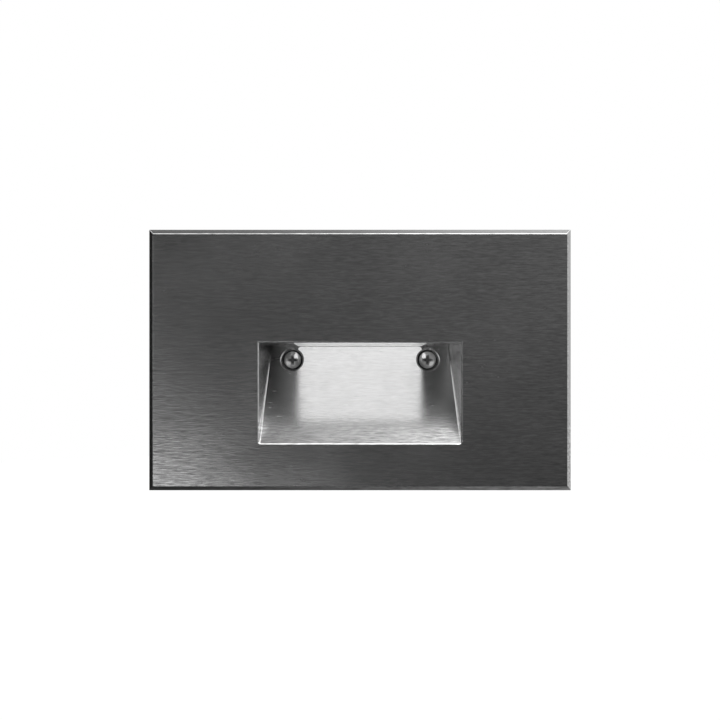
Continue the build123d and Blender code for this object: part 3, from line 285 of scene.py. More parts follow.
def grained(name, dark, light, rough, size=0.4, metallic=0.0, relief=0.3, wear=None, coat=0.0, mottle=12.0):
    """Coated, cast, moulded or plated surface: two close colours and a fine pebble. Its edges are worn if a
    wear colour is given, and a metal gets painted shade inside a screw's cross."""
    material, tree, shader = new_material(name)
    grain = place_group(tree, GRAIN, Size=size * MM, Mottle=mottle * MM)
    colour = blend_colours(tree, grain["Cloud"], dark, light)
    colour = blend_colours(tree, math(tree, "MULTIPLY", grain["Speck"], SPECK_SHARE), colour, light)
    if metallic:
        # painted shade: a metal is darkened deep inside a screw's cross recess
        recess_shade = add(tree, "ShaderNodeAttribute", attribute_name=RECESS).outputs["Fac"]
        colour = blend_colours(tree, math(tree, "MULTIPLY", recess_shade, RECESS_SHADE_SHARE), colour, grey(RECESS_SHADE_GREY))
    roughness = remap(tree, grain["Cloud"], 0.0, 1.0, rough - ROUGH_SPREAD, rough + ROUGH_SPREAD)
    if wear:
        edge = place_group(tree, EDGE_WEAR, Reach=WEAR_REACH)["Edge"]
        colour = blend_colours(tree, math(tree, "MULTIPLY", edge, WEAR_SHARE), colour, wear)
    feed(tree, shader.inputs["Base Color"], colour)
    feed(tree, shader.inputs["Roughness"], roughness)
    shader.inputs["Metallic"].default_value = metallic
    shader.inputs["Coat Weight"].default_value = coat
    shader.inputs["Coat Roughness"].default_value = COAT_ROUGH
    feed(tree, shader.inputs["Normal"], bump(tree, grain["Height"], relief, PEBBLE_DEPTH))
    return material


def frosted_pane(name, glow, rough, transmission):
    """Frosted acrylic with a fine sanded skin, lit from behind: it glows less seen at a low angle."""
    material, tree, shader = new_material(name)
    grain = place_group(tree, GRAIN, Size=0.12 * MM, Mottle=6 * MM)
    feed(tree, shader.inputs["Base Color"], blend_colours(tree, grain["Cloud"], grey(0.93), grey(0.97)))
    feed(tree, shader.inputs["Roughness"], remap(tree, grain["Cloud"], 0.0, 1.0, rough - 0.03, rough + 0.03))
    shader.inputs["IOR"].default_value = ACRYLIC_IOR
    shader.inputs["Transmission Weight"].default_value = transmission
    lit = blend_colours(tree, grain["Cloud"], grey(0.97), grey(1.0))
    mirrored = add(tree, "ShaderNodeFresnel", {"IOR": ACRYLIC_IOR}).outputs[0]
    feed(tree, shader.inputs["Emission Color"], blend_colours(tree, mirrored, lit, grey(0.0)))
    shader.inputs["Emission Strength"].default_value = glow
    feed(tree, shader.inputs["Normal"], bump(tree, grain["Height"], 0.08, SANDED_DEPTH))
    return material


COATING = dict(size=0.35, relief=0.45, wear=grey(0.22))
PLATING = dict(size=0.06, relief=0.05, mottle=2.0)
SMOOTH = dict(relief=0.1)
SLICK = dict(relief=0.05)

# dark and light colour, roughness, and what differs from the usual grain
GRAINED = {
    "gasket_foam": (grey(0.018), grey(0.03), 0.85, dict(size=0.5, relief=0.8)),
    "screw_steel": (grey(0.85), grey(0.97), 0.2, dict(metallic=0.55, **PLATING)),
    "seal_rubber": (grey(0.004), grey(0.008), 0.6, dict(size=0.15, relief=0.2)),
    "nylon": (rgb(0.66, 0.64, 0.57), rgb(0.74, 0.72, 0.65), 0.42, SMOOTH),
    "housing_casting": (grey(0.055), grey(0.068), 0.5, dict(metallic=0.35, **COATING)),
    "insert_brass": (rgb(0.6, 0.42, 0.16), rgb(0.75, 0.56, 0.26), 0.3, dict(metallic=1.0)),
    "silicone": (grey(0.55), grey(0.66), 0.5, SMOOTH),
    "white_plastic": (grey(0.78), grey(0.84), 0.4, SMOOTH),
    "white_board": (grey(0.76), grey(0.82), 0.35, dict(coat=0.2, **SLICK)),
    "led_phosphor": (rgb(0.8, 0.6, 0.12), rgb(0.9, 0.72, 0.22), 0.3, dict(size=0.1)),
    "zinc_steel": (rgb(0.54, 0.55, 0.57), rgb(0.66, 0.67, 0.69), 0.28, dict(metallic=1.0, **PLATING)),
    "thermal_silicone": (rgb(0.2, 0.27, 0.36), rgb(0.26, 0.34, 0.44), 0.7, {}),
    "lead_red": (rgb(0.42, 0.012, 0.01), rgb(0.5, 0.02, 0.015), 0.32, SLICK),
    "lead_black": (grey(0.01), grey(0.018), 0.32, SLICK),
    "circuit_board": (rgb(0.008, 0.09, 0.03), rgb(0.014, 0.13, 0.045), 0.32, dict(coat=0.4)),
    "capacitor_sleeve": (rgb(0.01, 0.014, 0.04), rgb(0.016, 0.022, 0.06), 0.25, {}),
    "film_yellow": (rgb(0.6, 0.36, 0.03), rgb(0.7, 0.45, 0.05), 0.35, SMOOTH),
    "ferrite": (grey(0.03), grey(0.05), 0.6, dict(metallic=0.3)),
    "copper_wire": (rgb(0.5, 0.16, 0.05), rgb(0.62, 0.24, 0.08), 0.25, dict(metallic=1.0)),
    "chip_plastic": (grey(0.014), grey(0.022), 0.5, dict(size=0.1)),
    "varistor_blue": (rgb(0.012, 0.05, 0.28), rgb(0.02, 0.075, 0.36), 0.3, {}),
    "fuse_black": (grey(0.012), grey(0.02), 0.4, {}),
    "terminal_green": (rgb(0.012, 0.13, 0.05), rgb(0.02, 0.17, 0.07), 0.42, {}),
    "earth_green": (rgb(0.015, 0.17, 0.04), rgb(0.02, 0.22, 0.055), 0.35, dict(metallic=0.3)),
    "tinned_copper": (grey(0.55), grey(0.65), 0.3, dict(metallic=1.0)),
    "lead_green": (rgb(0.015, 0.2, 0.035), rgb(0.02, 0.26, 0.05), 0.32, SLICK),
    "insulation_card": (rgb(0.62, 0.6, 0.5), rgb(0.7, 0.68, 0.58), 0.5, SMOOTH),
    "cover_metal": (grey(0.055), grey(0.068), 0.5, dict(metallic=0.35, **COATING)),
}


def all_materials():
    """Every finish by its slot in the record."""
    made = {
        "brushed_metal": brushed_metal(
            "brushed_metal", grey(0.36), grey(0.86), 0.2, streak=0.38, along=420.0, across=2900.0
        ),
        "plain_aluminium": brushed_metal("plain_aluminium", grey(0.6), grey(0.72), 0.36, streak=0.2),
        "frosted_pane": frosted_pane("frosted_pane", 0.74, 0.3, 0.15),
        "frosted_glass": frosted_pane("frosted_glass", 0.6, 0.45, 0.9),
    }
    for name, (dark, light, rough, settings) in GRAINED.items():
        made[name] = grained(name, dark, light, rough, **settings)
    return made


MATERIALS = all_materials()
SLOT_OF = {part["node"]: part["material_slot"] for part in frame["record"]["subparts"]}


# ---------------------------------------------------------------- mesh helpers

FLAT = radians(0.6)              # two faces that turn less than this are one flat
CORNER = radians(32)             # two faces that turn more than this meet in a corner
SHARP = radians(38)              # the same on threads, heads and knurls
MERGE = 0.002 * MM               # points nearer than this are one
FACE_SHARE = 0.42                # of a face's width that one rounding may take
NEIGHBOUR_SHARE = 0.45           # of the length of an edge that starts at a rounding


def new_object(name, mesh):
    """Object in the scene around that mesh."""
    made = bpy.data.objects.new(name, mesh)
    bpy.context.scene.collection.objects.link(made)
    return made


def plain_mesh(piece, name):
    """The piece's mesh with its modifiers applied, and the piece removed."""
    bpy.context.view_layer.update()
    graph = bpy.context.evaluated_depsgraph_get()
    shown = piece.evaluated_get(graph)
    mesh = bpy.data.meshes.new_from_object(shown, preserve_all_data_layers=True, depsgraph=graph)
    bpy.data.objects.remove(piece)
    mesh.name = name
    return mesh


def dress(name, mesh, body, slot, *replaced):
    """Makes a piece that rides on a body in that slot's finish and stands for the CAD nodes named."""
    piece = new_object(name, mesh)
    mesh.materials.clear()
    mesh.materials.append(MATERIALS[slot])
    if replaced:
        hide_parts(*replaced)
    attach(piece, body)


def body_of(node):
    """Name of the CAD body that carries the node."""
    return next(b for b, nodes in frame["record"]["behaviour"]["bodies"].items() if node in nodes)


def merged_copy(node, mend=None):
    """The CAD node's triangles joined into one skin, mended if asked, with its flats put together."""
    bm = bmesh.new()
    bm.from_mesh(frame["nodes"][node].data)
    bmesh.ops.remove_doubles(bm, verts=bm.verts[:], dist=MERGE)
    if mend:
        mend(bm)
    bmesh.ops.dissolve_limit(bm, angle_limit=FLAT, verts=bm.verts[:], edges=bm.edges[:], delimit=set())
    return bm


def skin_of(bm, name):
    """The finished mesh, smooth where it curves."""
    for face in bm.faces:
        face.smooth = True
    mesh = bpy.data.meshes.new(name)
    bm.to_mesh(mesh)
    bm.free()
    return mesh


def is_corner(edge):
    """Whether two faces meet at the edge at a clear angle."""
    return len(edge.link_faces) == 2 and edge.calc_face_angle(0.0) > CORNER


def direction_of(edge):
    """Unit vector along the edge."""
    return (edge.verts[1].co - edge.verts[0].co).normalized()


def room_at(edge, width):
    """Largest rounding of an edge, up to width, that the faces and the edges beside it leave room for."""
    start, along = edge.verts[0].co, direction_of(edge)
    for face in edge.link_faces:
        reach = max((v.co - start).cross(along).length for v in face.verts)
        width = min(width, FACE_SHARE * reach)
    for vertex in edge.verts:
        for other in vertex.link_edges:
            if other != edge and is_corner(other) and abs(along.dot(direction_of(other))) < cos(CORNER):
                width = min(width, NEIGHBOUR_SHARE * other.calc_length())
    return width


def eased(bm, name, width, segments=3, width_at=None):
    """Mesh with its corners rounded, and shaded so that its flats stay flat. width_at gives each edge its own
    width."""
    weights = bm.edges.layers.float.new("bevel_weight_edge")
    for edge in bm.edges:
        if is_corner(edge):
            wanted = width_at(edge) if width_at else width
            edge[weights] = room_at(edge, wanted) / width
    piece = new_object(name, skin_of(bm, name))
    rounding = piece.modifiers.new("rounding", "BEVEL")
    rounding.width = width
    rounding.segments = segments
    rounding.limit_method = "WEIGHT"
    rounding.use_clamp_overlap = False
    shading = piece.modifiers.new("shading", "WEIGHTED_NORMAL")
    shading.mode = "FACE_AREA"
    shading.weight = 100
    shading.keep_sharp = True
    return plain_mesh(piece, name)


def solids_of(node):
    """Lowest and highest corner of each separate solid in a CAD node."""
    bm = merged_copy(node)
    left = set(bm.verts)
    boxes = []
    while left:
        waiting = [left.pop()]
        found = []
        while waiting:
            vertex = waiting.pop()
            found.append(vertex.co.copy())
            near = {e.other_vert(vertex) for e in vertex.link_edges} & left
            left -= near
            waiting += near
        low = Vector([min(c[i] for c in found) for i in range(3)])
        high = Vector([max(c[i] for c in found) for i in range(3)])
        boxes.append((low, high))
    bm.free()
    return sorted(boxes, key=lambda box: tuple(round(c, 5) for c in box[0]))


def ringed(name, rings):
    """Closed mesh through rings with the same number of points."""
    bm = bmesh.new()
    rows = [[bm.verts.new(point) for point in ring] for ring in rings]
    for lower, upper in zip(rows, rows[1:]):
        for i in range(len(lower)):
            j = (i + 1) % len(lower)
            bm.faces.new((lower[i], lower[j], upper[j], upper[i]))
    for row in (rows[0], rows[-1]):
        middle = bm.verts.new(sum((v.co for v in row), Vector()) / len(row))
        for i in range(len(row)):
            bm.faces.new((row[i], row[(i + 1) % len(row)], middle))
    bmesh.ops.recalc_face_normals(bm, faces=bm.faces[:])
    return skin_of(bm, name)


# ---------------------------------------------------------------- Geometry Nodes

CREST_FROM, CREST_TO = 0.05, 0.42    # of half a pitch: the flank between a groove and a crest
NECK_RUN = 0.3 * MM              # length over which a thread runs out
POINT_SLOPE = 2.0                # how fast a pointed end widens
WINDING_LAYERS = 3
WINDING_NESTING = 0.86           # of the wire's diameter, from one layer to the next
WIRE_AROUND, POINTS_A_TURN = 8, 20


def new_geometry_tree(name, inputs, geometry_in=False):
    """Geometry tree with named inputs, the values it is given and the sockets at its end."""
    tree = bpy.data.node_groups.new(name, "GeometryNodeTree")
    if geometry_in:
        tree.interface.new_socket("Geometry", in_out="INPUT", socket_type="NodeSocketGeometry")
    tree.interface.new_socket("Geometry", in_out="OUTPUT", socket_type="NodeSocketGeometry")
    for label, kind in inputs.items():
        tree.interface.new_socket(label, in_out="INPUT", socket_type="NodeSocket" + kind)
    given = tree.nodes.new("NodeGroupInput").outputs
    made = tree.nodes.new("NodeGroupOutput").inputs
    return tree, given, made


def finish_tree(tree, given, made, geometry):
    """Ends the tree with Realize Instances and Set Material."""
    real = add(tree, "GeometryNodeRealizeInstances", {"Geometry": geometry}).outputs["Geometry"]
    painted = add(tree, "GeometryNodeSetMaterial", {"Geometry": real, "Material": given["Material"]})
    feed(tree, made["Geometry"], painted.outputs["Geometry"])


def run_tree(tree, name, mesh=None, **values):
    """Plain mesh that the tree makes with those inputs, named with underscores for spaces."""
    piece = new_object(name, mesh or bpy.data.meshes.new(name))
    modifier = piece.modifiers.new("shape", "NODES")
    modifier.node_group = tree
    for socket in tree.interface.items_tree:
        key = socket.name.replace(" ", "_")
        if socket.in_out == "INPUT" and key in values:
            modifier[socket.identifier] = values[key]
    return plain_mesh(piece, name)


def cut_bar_tree():
    """Round bar whose skin is cut by helical grooves: one for a screw thread, two crossed sets for a knurl.
    Its lower end is pointed, and both ends run in to the radius of its bore."""
    tree, given, made = new_geometry_tree("cut_bar", {
        "Outer Diameter": "Float", "Inner Diameter": "Float", "Bore Diameter": "Float", "Length": "Float",
        "Plain Length": "Float", "Pitch": "Float", "Starts": "Float", "Crossed": "Float", "Point": "Float",
        "Around": "Int", "Rows": "Int", "Material": "Material",
    })
    columns = math(tree, "ADD", given["Around"], 1.0)
    grid = add(tree, "GeometryNodeMeshGrid", {"Size X": 1.0, "Size Y": 1.0, "Vertices X": columns,
                                              "Vertices Y": given["Rows"]}).outputs["Mesh"]
    position = add(tree, "GeometryNodeInputPosition").outputs[0]
    flat = add(tree, "ShaderNodeSeparateXYZ", {0: position}).outputs
    turn = math(tree, "ADD", flat["X"], 0.5)
    last_row = math(tree, "SUBTRACT", given["Rows"], 1.0)
    row = math(tree, "MULTIPLY", math(tree, "ADD", flat["Y"], 0.5), last_row)
    along = math(tree, "DIVIDE", math(tree, "SUBTRACT", row, 1.0), math(tree, "SUBTRACT", last_row, 2.0),
                 clamp=True)
    height = math(tree, "MULTIPLY", along, given["Length"])
    wound = math(tree, "MULTIPLY", turn, given["Starts"])
    steps = math(tree, "DIVIDE", height, given["Pitch"])
    ridge = math(tree, "PINGPONG", math(tree, "SUBTRACT", steps, wound), 0.5)
    other = math(tree, "PINGPONG", math(tree, "ADD", steps, wound), 0.5)
    crossed = math(tree, "MINIMUM", ridge, other)
    plain_share = math(tree, "SUBTRACT", 1.0, given["Crossed"])
    cut = math(tree, "ADD", math(tree, "MULTIPLY", ridge, plain_share),
               math(tree, "MULTIPLY", crossed, given["Crossed"]))
    crest = remap(tree, cut, CREST_FROM, CREST_TO)
    cut_end = math(tree, "SUBTRACT", given["Length"], given["Plain Length"])
    neck = remap(tree, math(tree, "SUBTRACT", height, cut_end), 0.0, NECK_RUN)
    crest = math(tree, "MAXIMUM", crest, neck)
    reach = math(tree, "SUBTRACT", given["Outer Diameter"], given["Inner Diameter"])
    wide = math(tree, "ADD", given["Inner Diameter"], math(tree, "MULTIPLY", reach, crest))
    pointed = math(tree, "ADD", math(tree, "SUBTRACT", given["Inner Diameter"], given["Point"]),
                   math(tree, "MULTIPLY", height, POINT_SLOPE))
    radius = math(tree, "MULTIPLY", math(tree, "MINIMUM", wide, pointed), 0.5)
    first = math(tree, "LESS_THAN", row, 0.5)
    end = math(tree, "MAXIMUM", first, math(tree, "GREATER_THAN", row, math(tree, "SUBTRACT", last_row, 0.5)))
    bore = math(tree, "MULTIPLY", given["Bore Diameter"], 0.5)
    radius = blend(tree, end, radius, bore)
    angle = math(tree, "MULTIPLY", turn, 2 * pi)
    place = add(tree, "ShaderNodeCombineXYZ", {
        0: math(tree, "MULTIPLY", radius, math(tree, "COSINE", angle)),
        1: math(tree, "MULTIPLY", radius, math(tree, "SINE", angle)),
        2: math(tree, "SUBTRACT", height, given["Length"]),
    }).outputs[0]
    wrapped = add(tree, "GeometryNodeSetPosition", {"Geometry": grid, "Position": place}).outputs["Geometry"]
    sealed = add(tree, "GeometryNodeMergeByDistance", {"Geometry": wrapped, "Distance": MERGE}).outputs[0]
    smooth = add(tree, "GeometryNodeSetShadeSmooth", {"Geometry": sealed}).outputs["Geometry"]
    finish_tree(tree, given, made, smooth)
    return tree


def copies_tree():
    """A shape repeated at each point of the geometry that is given, all turned the same way."""
    inputs = {"Shape": "Object", "Turn": "Rotation", "Material": "Material"}
    tree, given, made = new_geometry_tree("copies", inputs, geometry_in=True)
    shape = add(tree, "GeometryNodeObjectInfo", {"Object": given["Shape"]}).outputs["Geometry"]
    placed = add(tree, "GeometryNodeInstanceOnPoints", {
        "Points": given["Geometry"], "Instance": shape, "Rotation": given["Turn"]
    }).outputs["Instances"]
    finish_tree(tree, given, made, placed)
    return tree


def winding_tree():
    """Layers of wire wound side by side around an axis along Z."""
    tree, given, made = new_geometry_tree("winding", {
        "Wire Diameter": "Float", "Outer Diameter": "Float", "Length": "Float", "Turns": "Float",
        "Material": "Material",
    })
    joined = add(tree, "GeometryNodeJoinGeometry").inputs["Geometry"]
    wire = add(tree, "GeometryNodeCurvePrimitiveCircle", {
        "Resolution": WIRE_AROUND, "Radius": math(tree, "MULTIPLY", given["Wire Diameter"], 0.5)
    }).outputs["Curve"]
    for layer in range(WINDING_LAYERS):
        inward = math(tree, "MULTIPLY", given["Wire Diameter"], 1.0 + 2.0 * layer * WINDING_NESTING)
        radius = math(tree, "MULTIPLY", math(tree, "SUBTRACT", given["Outer Diameter"], inward), 0.5)
        run = math(tree, "SUBTRACT", given["Length"], given["Wire Diameter"])
        helix = add(tree, "GeometryNodeCurveSpiral", {
            "Resolution": POINTS_A_TURN, "Rotations": given["Turns"], "Height": run,
            "Start Radius": radius, "End Radius": radius,
        }).outputs["Curve"]
        sweep = {"Curve": helix, "Profile Curve": wire, "Fill Caps": True}
        tree.links.new(add(tree, "GeometryNodeCurveToMesh", sweep).outputs["Mesh"], joined)
    finish_tree(tree, given, made, joined.node.outputs["Geometry"])
    return tree


CUT_BAR = cut_bar_tree()
COPIES = copies_tree()
WINDING = winding_tree()


def repeated(name, mesh, places, turn, material):
    """One mesh with a copy of the given mesh at each place, turned by three angles."""
    shape = new_object(name + "_shape", mesh)
    points = bpy.data.meshes.new(name + "_places")
    points.from_pydata([tuple(p) for p in places], [], [])
    made = run_tree(COPIES, name, points, Shape=shape, Turn=turn, Material=material)
    bpy.data.objects.remove(shape)
    return made


# ---------------------------------------------------------------- pieces

FACING_FRONT = (radians(90), 0.0, 0.0)       # turns +Z to -Y
FACING_BACK = (radians(-90), 0.0, 0.0)       # turns +Z to +Y
FACING_DOWN = (radians(180), 0.0, 0.0)       # turns +Z to -Z
OUTWARD = {
    FACING_FRONT: Vector((0, -1, 0)), FACING_BACK: Vector((0, 1, 0)), FACING_DOWN: Vector((0, 0, -1)),
}

# where the head faces, and in millimetres: head height, shank diameter, pitch, span of the cross recess and
# plain neck under the head
SCREWS = {
    "face_screw_left": (FACING_FRONT, 2.4, 3.0, 0.5, 3.8, 7.6),
    "face_screw_right": (FACING_FRONT, 2.4, 3.0, 0.5, 3.8, 7.6),
    "rear_cover_screws": (FACING_BACK, 2.0, 3.0, 0.5, 3.1, 0.6),
    "driver_board_screws": (FACING_BACK, 1.5, 2.5, 0.45, 2.3, 0.5),
    "led_bracket_screws": (FACING_BACK, 1.5, 2.5, 0.45, 2.3, 0.5),
    "led_board_screws": (FACING_DOWN, 1.3, 2.0, 0.4, 1.8, 0.4),
    "terminal_screws": (FACING_BACK, 1.4, 2.0, 0.4, 1.9, 0.3),
    "earth_screw": (FACING_BACK, 2.5, 4.0, 0.7, 4.1, 0.6),
}
SCREW_AROUND = 48                # points around a head, in 4 quarters
THREAD_AROUND = 20               # points around a shank
THREAD_DEPTH = 0.61              # of the pitch, on each side
ROWS_A_TURN, END_ROWS = 6, 8
SCREW_POINT = 0.5 * MM           # by which its tip is narrower than its core
WING_SHARE = 0.115               # half the width of a cross's wing, of its span
WING_ROOT = 1.35                 # of that, where two wings meet
WING_SHOULDER = 0.94             # of a wing's length, where its blunt end starts
CROSS_FLOOR, CROSS_BRIM = 0.5, 1.05      # of the cross's size at its mouth
CROSS_DEPTH = 0.6                # of the head's height
CROSS_SHADED = 1.02              # of the cross's size, up to where the painted shade reaches
CROSS_LIP = 0.02                 # of the head's height, by which the cross's mouth lies under its brim
HEAD_WALL = 0.46                 # of the head's height that is straight
HEAD_DOME_RINGS = (0.7, 0.84, 0.93)      # of the head's radius


def cross_outline(span, scale=1.0):
    """Outline of a cross recess: four wings with blunt ends, as points that go once around."""
    reach = span / 2 * scale
    wing = span * WING_SHARE * scale
    shoulder = reach * WING_SHOULDER
    root = wing * WING_ROOT
    corners = []
    for quarter in range(4):
        ahead, aside = cos(quarter * pi / 2), sin(quarter * pi / 2)
        for along, beside in ((shoulder, -wing), (reach, 0.0), (shoulder, wing), (root, root)):
            corners.append((along * ahead - beside * aside, along * aside + beside * ahead))
    parts = SCREW_AROUND // len(corners)
    points = []
    for (ax, ay), (bx, by) in zip(corners, corners[1:] + corners[:1]):
        points += [(ax + (bx - ax) * k / parts, ay + (by - ay) * k / parts) for k in range(parts)]
    return points


def circle(radius, height, start):
    """Ring of points around Z, from that angle on."""
    angles = [start + 2 * pi * i / SCREW_AROUND for i in range(SCREW_AROUND)]
    return [(radius * cos(a), radius * sin(a), height) for a in angles]


def screw_head(name, radius, height, span):
    """Pan head with a cross recess, and with how deep each point lies in it. Its underside is at Z = 0."""
    wall = height * HEAD_WALL
    crown = height - wall
    sphere = (radius ** 2 + crown ** 2) / (2 * crown)
    depth = height * CROSS_DEPTH

    def dome(x, y):
        return height - sphere + (sphere ** 2 - x ** 2 - y ** 2) ** 0.5

    mouth = cross_outline(span)
    start = atan2(mouth[0][1], mouth[0][0])
    rings = [
        [(x, y, height - depth) for x, y in cross_outline(span, CROSS_FLOOR)],
        [(x, y, dome(x, y) - height * CROSS_LIP) for x, y in mouth],
        [(x, y, dome(x, y)) for x, y in cross_outline(span, CROSS_BRIM)],
    ]
    rings += [circle(radius * share, dome(radius * share, 0), start) for share in HEAD_DOME_RINGS]
    rings += [
        circle(radius * 0.98, wall * 1.06, start),
        circle(radius, wall * 0.86, start),
        circle(radius, height * 0.08, start),
        circle(radius * 0.97, 0.0, start),
        circle(radius * 0.3, 0.0, start),
    ]
    mesh = ringed(name, rings)
    # painted shade: the deeper a point lies in the cross, the darker it is painted
    shade_depths = mesh.attributes.new(RECESS, "FLOAT", "POINT").data
    for vertex, value in zip(mesh.vertices, shade_depths):
        x, y, z = vertex.co
        if z > 0 and hypot(x, y) < span / 2 * CROSS_SHADED:
            value.value = min(1.0, max(0.0, (dome(x, y) - z) / depth * 2))
    return mesh


def threaded_screws():
    """Every screw with its cross recess and its thread, in the places of the CAD screws."""
    for node, (facing, head_h, shank_d, pitch, span, neck) in SCREWS.items():
        outward = OUTWARD[facing]
        boxes = solids_of(node)
        low, high = boxes[0]
        size = high - low
        axis = max(range(3), key=lambda i: abs(outward[i]))
        head_r = size[(axis + 1) % 3] / 2
        length = size[axis] - head_h * MM
        places = []
        for low, high in boxes:
            place = (low + high) / 2
            tip = low[axis] if outward[axis] > 0 else high[axis]
            place[axis] = tip + outward[axis] * length
            places.append(place)
        rows = int((length / MM - neck) / pitch * ROWS_A_TURN) + END_ROWS
        material = MATERIALS[SLOT_OF[node]]
        core_d = shank_d - 2 * THREAD_DEPTH * pitch
        shank = run_tree(
            CUT_BAR, node + "_shank", Outer_Diameter=shank_d * MM, Inner_Diameter=core_d * MM,
            Bore_Diameter=0.0, Length=length, Plain_Length=neck * MM, Pitch=pitch * MM, Starts=1.0,
            Crossed=0.0, Point=SCREW_POINT, Around=THREAD_AROUND, Rows=rows, Material=material,
        )
        head = screw_head(node + "_head", head_r, head_h * MM, span * MM)
        whole = bmesh.new()
        whole.from_mesh(head)
        whole.from_mesh(shank)
        mesh = skin_of(whole, node + "_single")
        mesh.set_sharp_from_angle(angle=SHARP)
        made = repeated(node + "_turned", mesh, places, facing, material)
        dress(node + "_turned", made, body_of(node), SLOT_OF[node], node)


# rounding of the corners of each CAD node that is shown with softened edges, in millimetres
EASED = {
    "window_pane": 0.06, "wall_gasket": 0.5, "screw_seal_left": 0.15, "screw_seal_right": 0.15,
    "screw_retainer_left": 0.08, "screw_retainer_right": 0.08, "housing": 0.3, "rear_cover": 0.3,
    "rear_cover_gasket": 0.15, "supply_grommet": 0.3, "lens": 0.25, "lens_gasket": 0.15, "light_box": 0.2,
    "led_board": 0.12, "thermal_pad": 0.12, "led_bracket": 0.25, "driver_board": 0.12, "terminal_block": 0.2,
    "terminal_clamps": 0.1, "bulk_capacitor": 0.2, "film_capacitor": 0.2, "inductor_core": 0.15,
    "bridge_rectifier": 0.12, "driver_chip": 0.06, "switching_transistor": 0.12, "fuse": 0.2,
    "earth_lug": 0.1, "insulation_sheet": 0.05,
}


def softened_pieces():
    """Rigid pieces with rounded corners, which catch the light as thin bright lines."""
    for node, width in EASED.items():
        mesh = eased(merged_copy(node), node + "_eased", width * MM)
        dress(node + "_eased", mesh, body_of(node), SLOT_OF[node], node)


ARRIS_R = 0.18 * MM              # around the plate's face
MITRE_R = 0.22 * MM              # where its bevels meet at the plate's corners:
MITRE_X, MITRE_Y = 60 * MM, -4 * MM      # outside the one and in front of the other,
LEANING = 0.4                    # with at least this much of the edge's direction along Y
MOUTH_R = 0.1 * MM               # around the mouth of the scoop,
MOUTH_X, MOUTH_Z = 32 * MM, 27 * MM      # inside these
LEVEL = 0.9                      # least share of an edge's direction along X or Z for it to count as straight
EDGE_R = 0.07 * MM               # everywhere else
FACEPLATE_SEGMENTS = 4
STEP_BACK = 21.7 * MM            # where the low step at the back of the scoop is, along Y
STEP_LOW, STEP_HIGH = 4.3 * MM, 4.7 * MM


def faceplate_width(edge):
    """Rounding of one of the faceplate's edges."""
    middle = (edge.verts[0].co + edge.verts[1].co) / 2
    along = direction_of(edge)
    if abs(middle.x) > MITRE_X and middle.y < MITRE_Y and abs(along.y) > LEANING:
        return MITRE_R
    if middle.y > PLATE_FRONT + 2 * MOUTH_R or max(abs(along.x), abs(along.z)) < LEVEL:
        return EDGE_R
    return MOUTH_R if abs(middle.x) < MOUTH_X and abs(middle.z) < MOUTH_Z else ARRIS_R


def close_step(bm):
    """Joins the low step at the back of the scoop, so that the slope runs straight into the scoop's top."""
    step = [v for v in bm.verts if abs(v.co.y - STEP_BACK) < MERGE and STEP_LOW < v.co.z < STEP_HIGH]
    for side in (-1, 1):
        here = [v for v in step if v.is_valid and v.co.x * side > 0]
        top = max(here, key=lambda v: v.co.z)
        bmesh.ops.weld_verts(bm, targetmap={v: top for v in here if v is not top})


def faceplate():
    """Plate and scoop."""
    bm = merged_copy("faceplate", close_step)
    mesh = eased(bm, "faceplate_eased", ARRIS_R, FACEPLATE_SEGMENTS, faceplate_width)
    dress("faceplate_eased", mesh, "trim", "brushed_metal", "faceplate")


WIRE_D = 0.5 * MM


def wound_inductor():
    """Turns of enamelled wire in the place of the winding's solid sleeve."""
    low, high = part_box("inductor_winding")
    length = high.y - low.y
    slot = SLOT_OF["inductor_winding"]
    mesh = run_tree(WINDING, "wound_wire", Wire_Diameter=WIRE_D, Outer_Diameter=high.x - low.x, Length=length,
                    Turns=(length - WIRE_D) / WIRE_D, Material=MATERIALS[slot])
    middle = (low + high) / 2
    place = Matrix.Translation((middle.x, low.y + WIRE_D / 2, middle.z))
    mesh.transform(place @ Matrix.Rotation(radians(-90), 4, "X"))
    dress("inductor_turns", mesh, "housing", slot, "inductor_winding")


KNURL_STARTS = 22.0
KNURL_PITCH = 14.0 * MM
KNURL_DEPTH = 0.25 * MM
KNURL_AROUND, KNURL_ROWS = 132, 30
INSERT_WALL = 0.75 * MM


def knurled_inserts():
    """Brass inserts with a crossed knurl around them and a plain bore."""
    for side in ("left", "right"):
        node = f"thread_insert_{side}"
        low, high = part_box(node)
        outer = high.x - low.x
        bore = outer - 2 * INSERT_WALL
        mesh = run_tree(
            CUT_BAR, node + "_skin", Outer_Diameter=outer, Inner_Diameter=outer - 2 * KNURL_DEPTH,
            Bore_Diameter=bore, Length=high.y - low.y, Plain_Length=0.0, Pitch=KNURL_PITCH,
            Starts=KNURL_STARTS, Crossed=1.0, Point=0.0, Around=KNURL_AROUND, Rows=KNURL_ROWS,
            Material=MATERIALS["insert_brass"],
        )
        bm = bmesh.new()
        bm.from_mesh(mesh)
        bmesh.ops.bridge_loops(bm, edges=[e for e in bm.edges if e.is_boundary])
        bmesh.ops.recalc_face_normals(bm, faces=bm.faces[:])
        mesh = skin_of(bm, node + "_knurled")
        mesh.set_sharp_from_angle(angle=SHARP)
        middle = (low + high) / 2
        place = Matrix.Translation((middle.x, low.y, middle.z))
        mesh.transform(place @ Matrix.Rotation(radians(90), 4, "X"))
        dress(node + "_knurled", mesh, "housing", "insert_brass", node)


LED_WALL = 0.35 * MM             # of a diode's case, around its dish
LED_DISH = 0.22 * MM             # depth of the dish


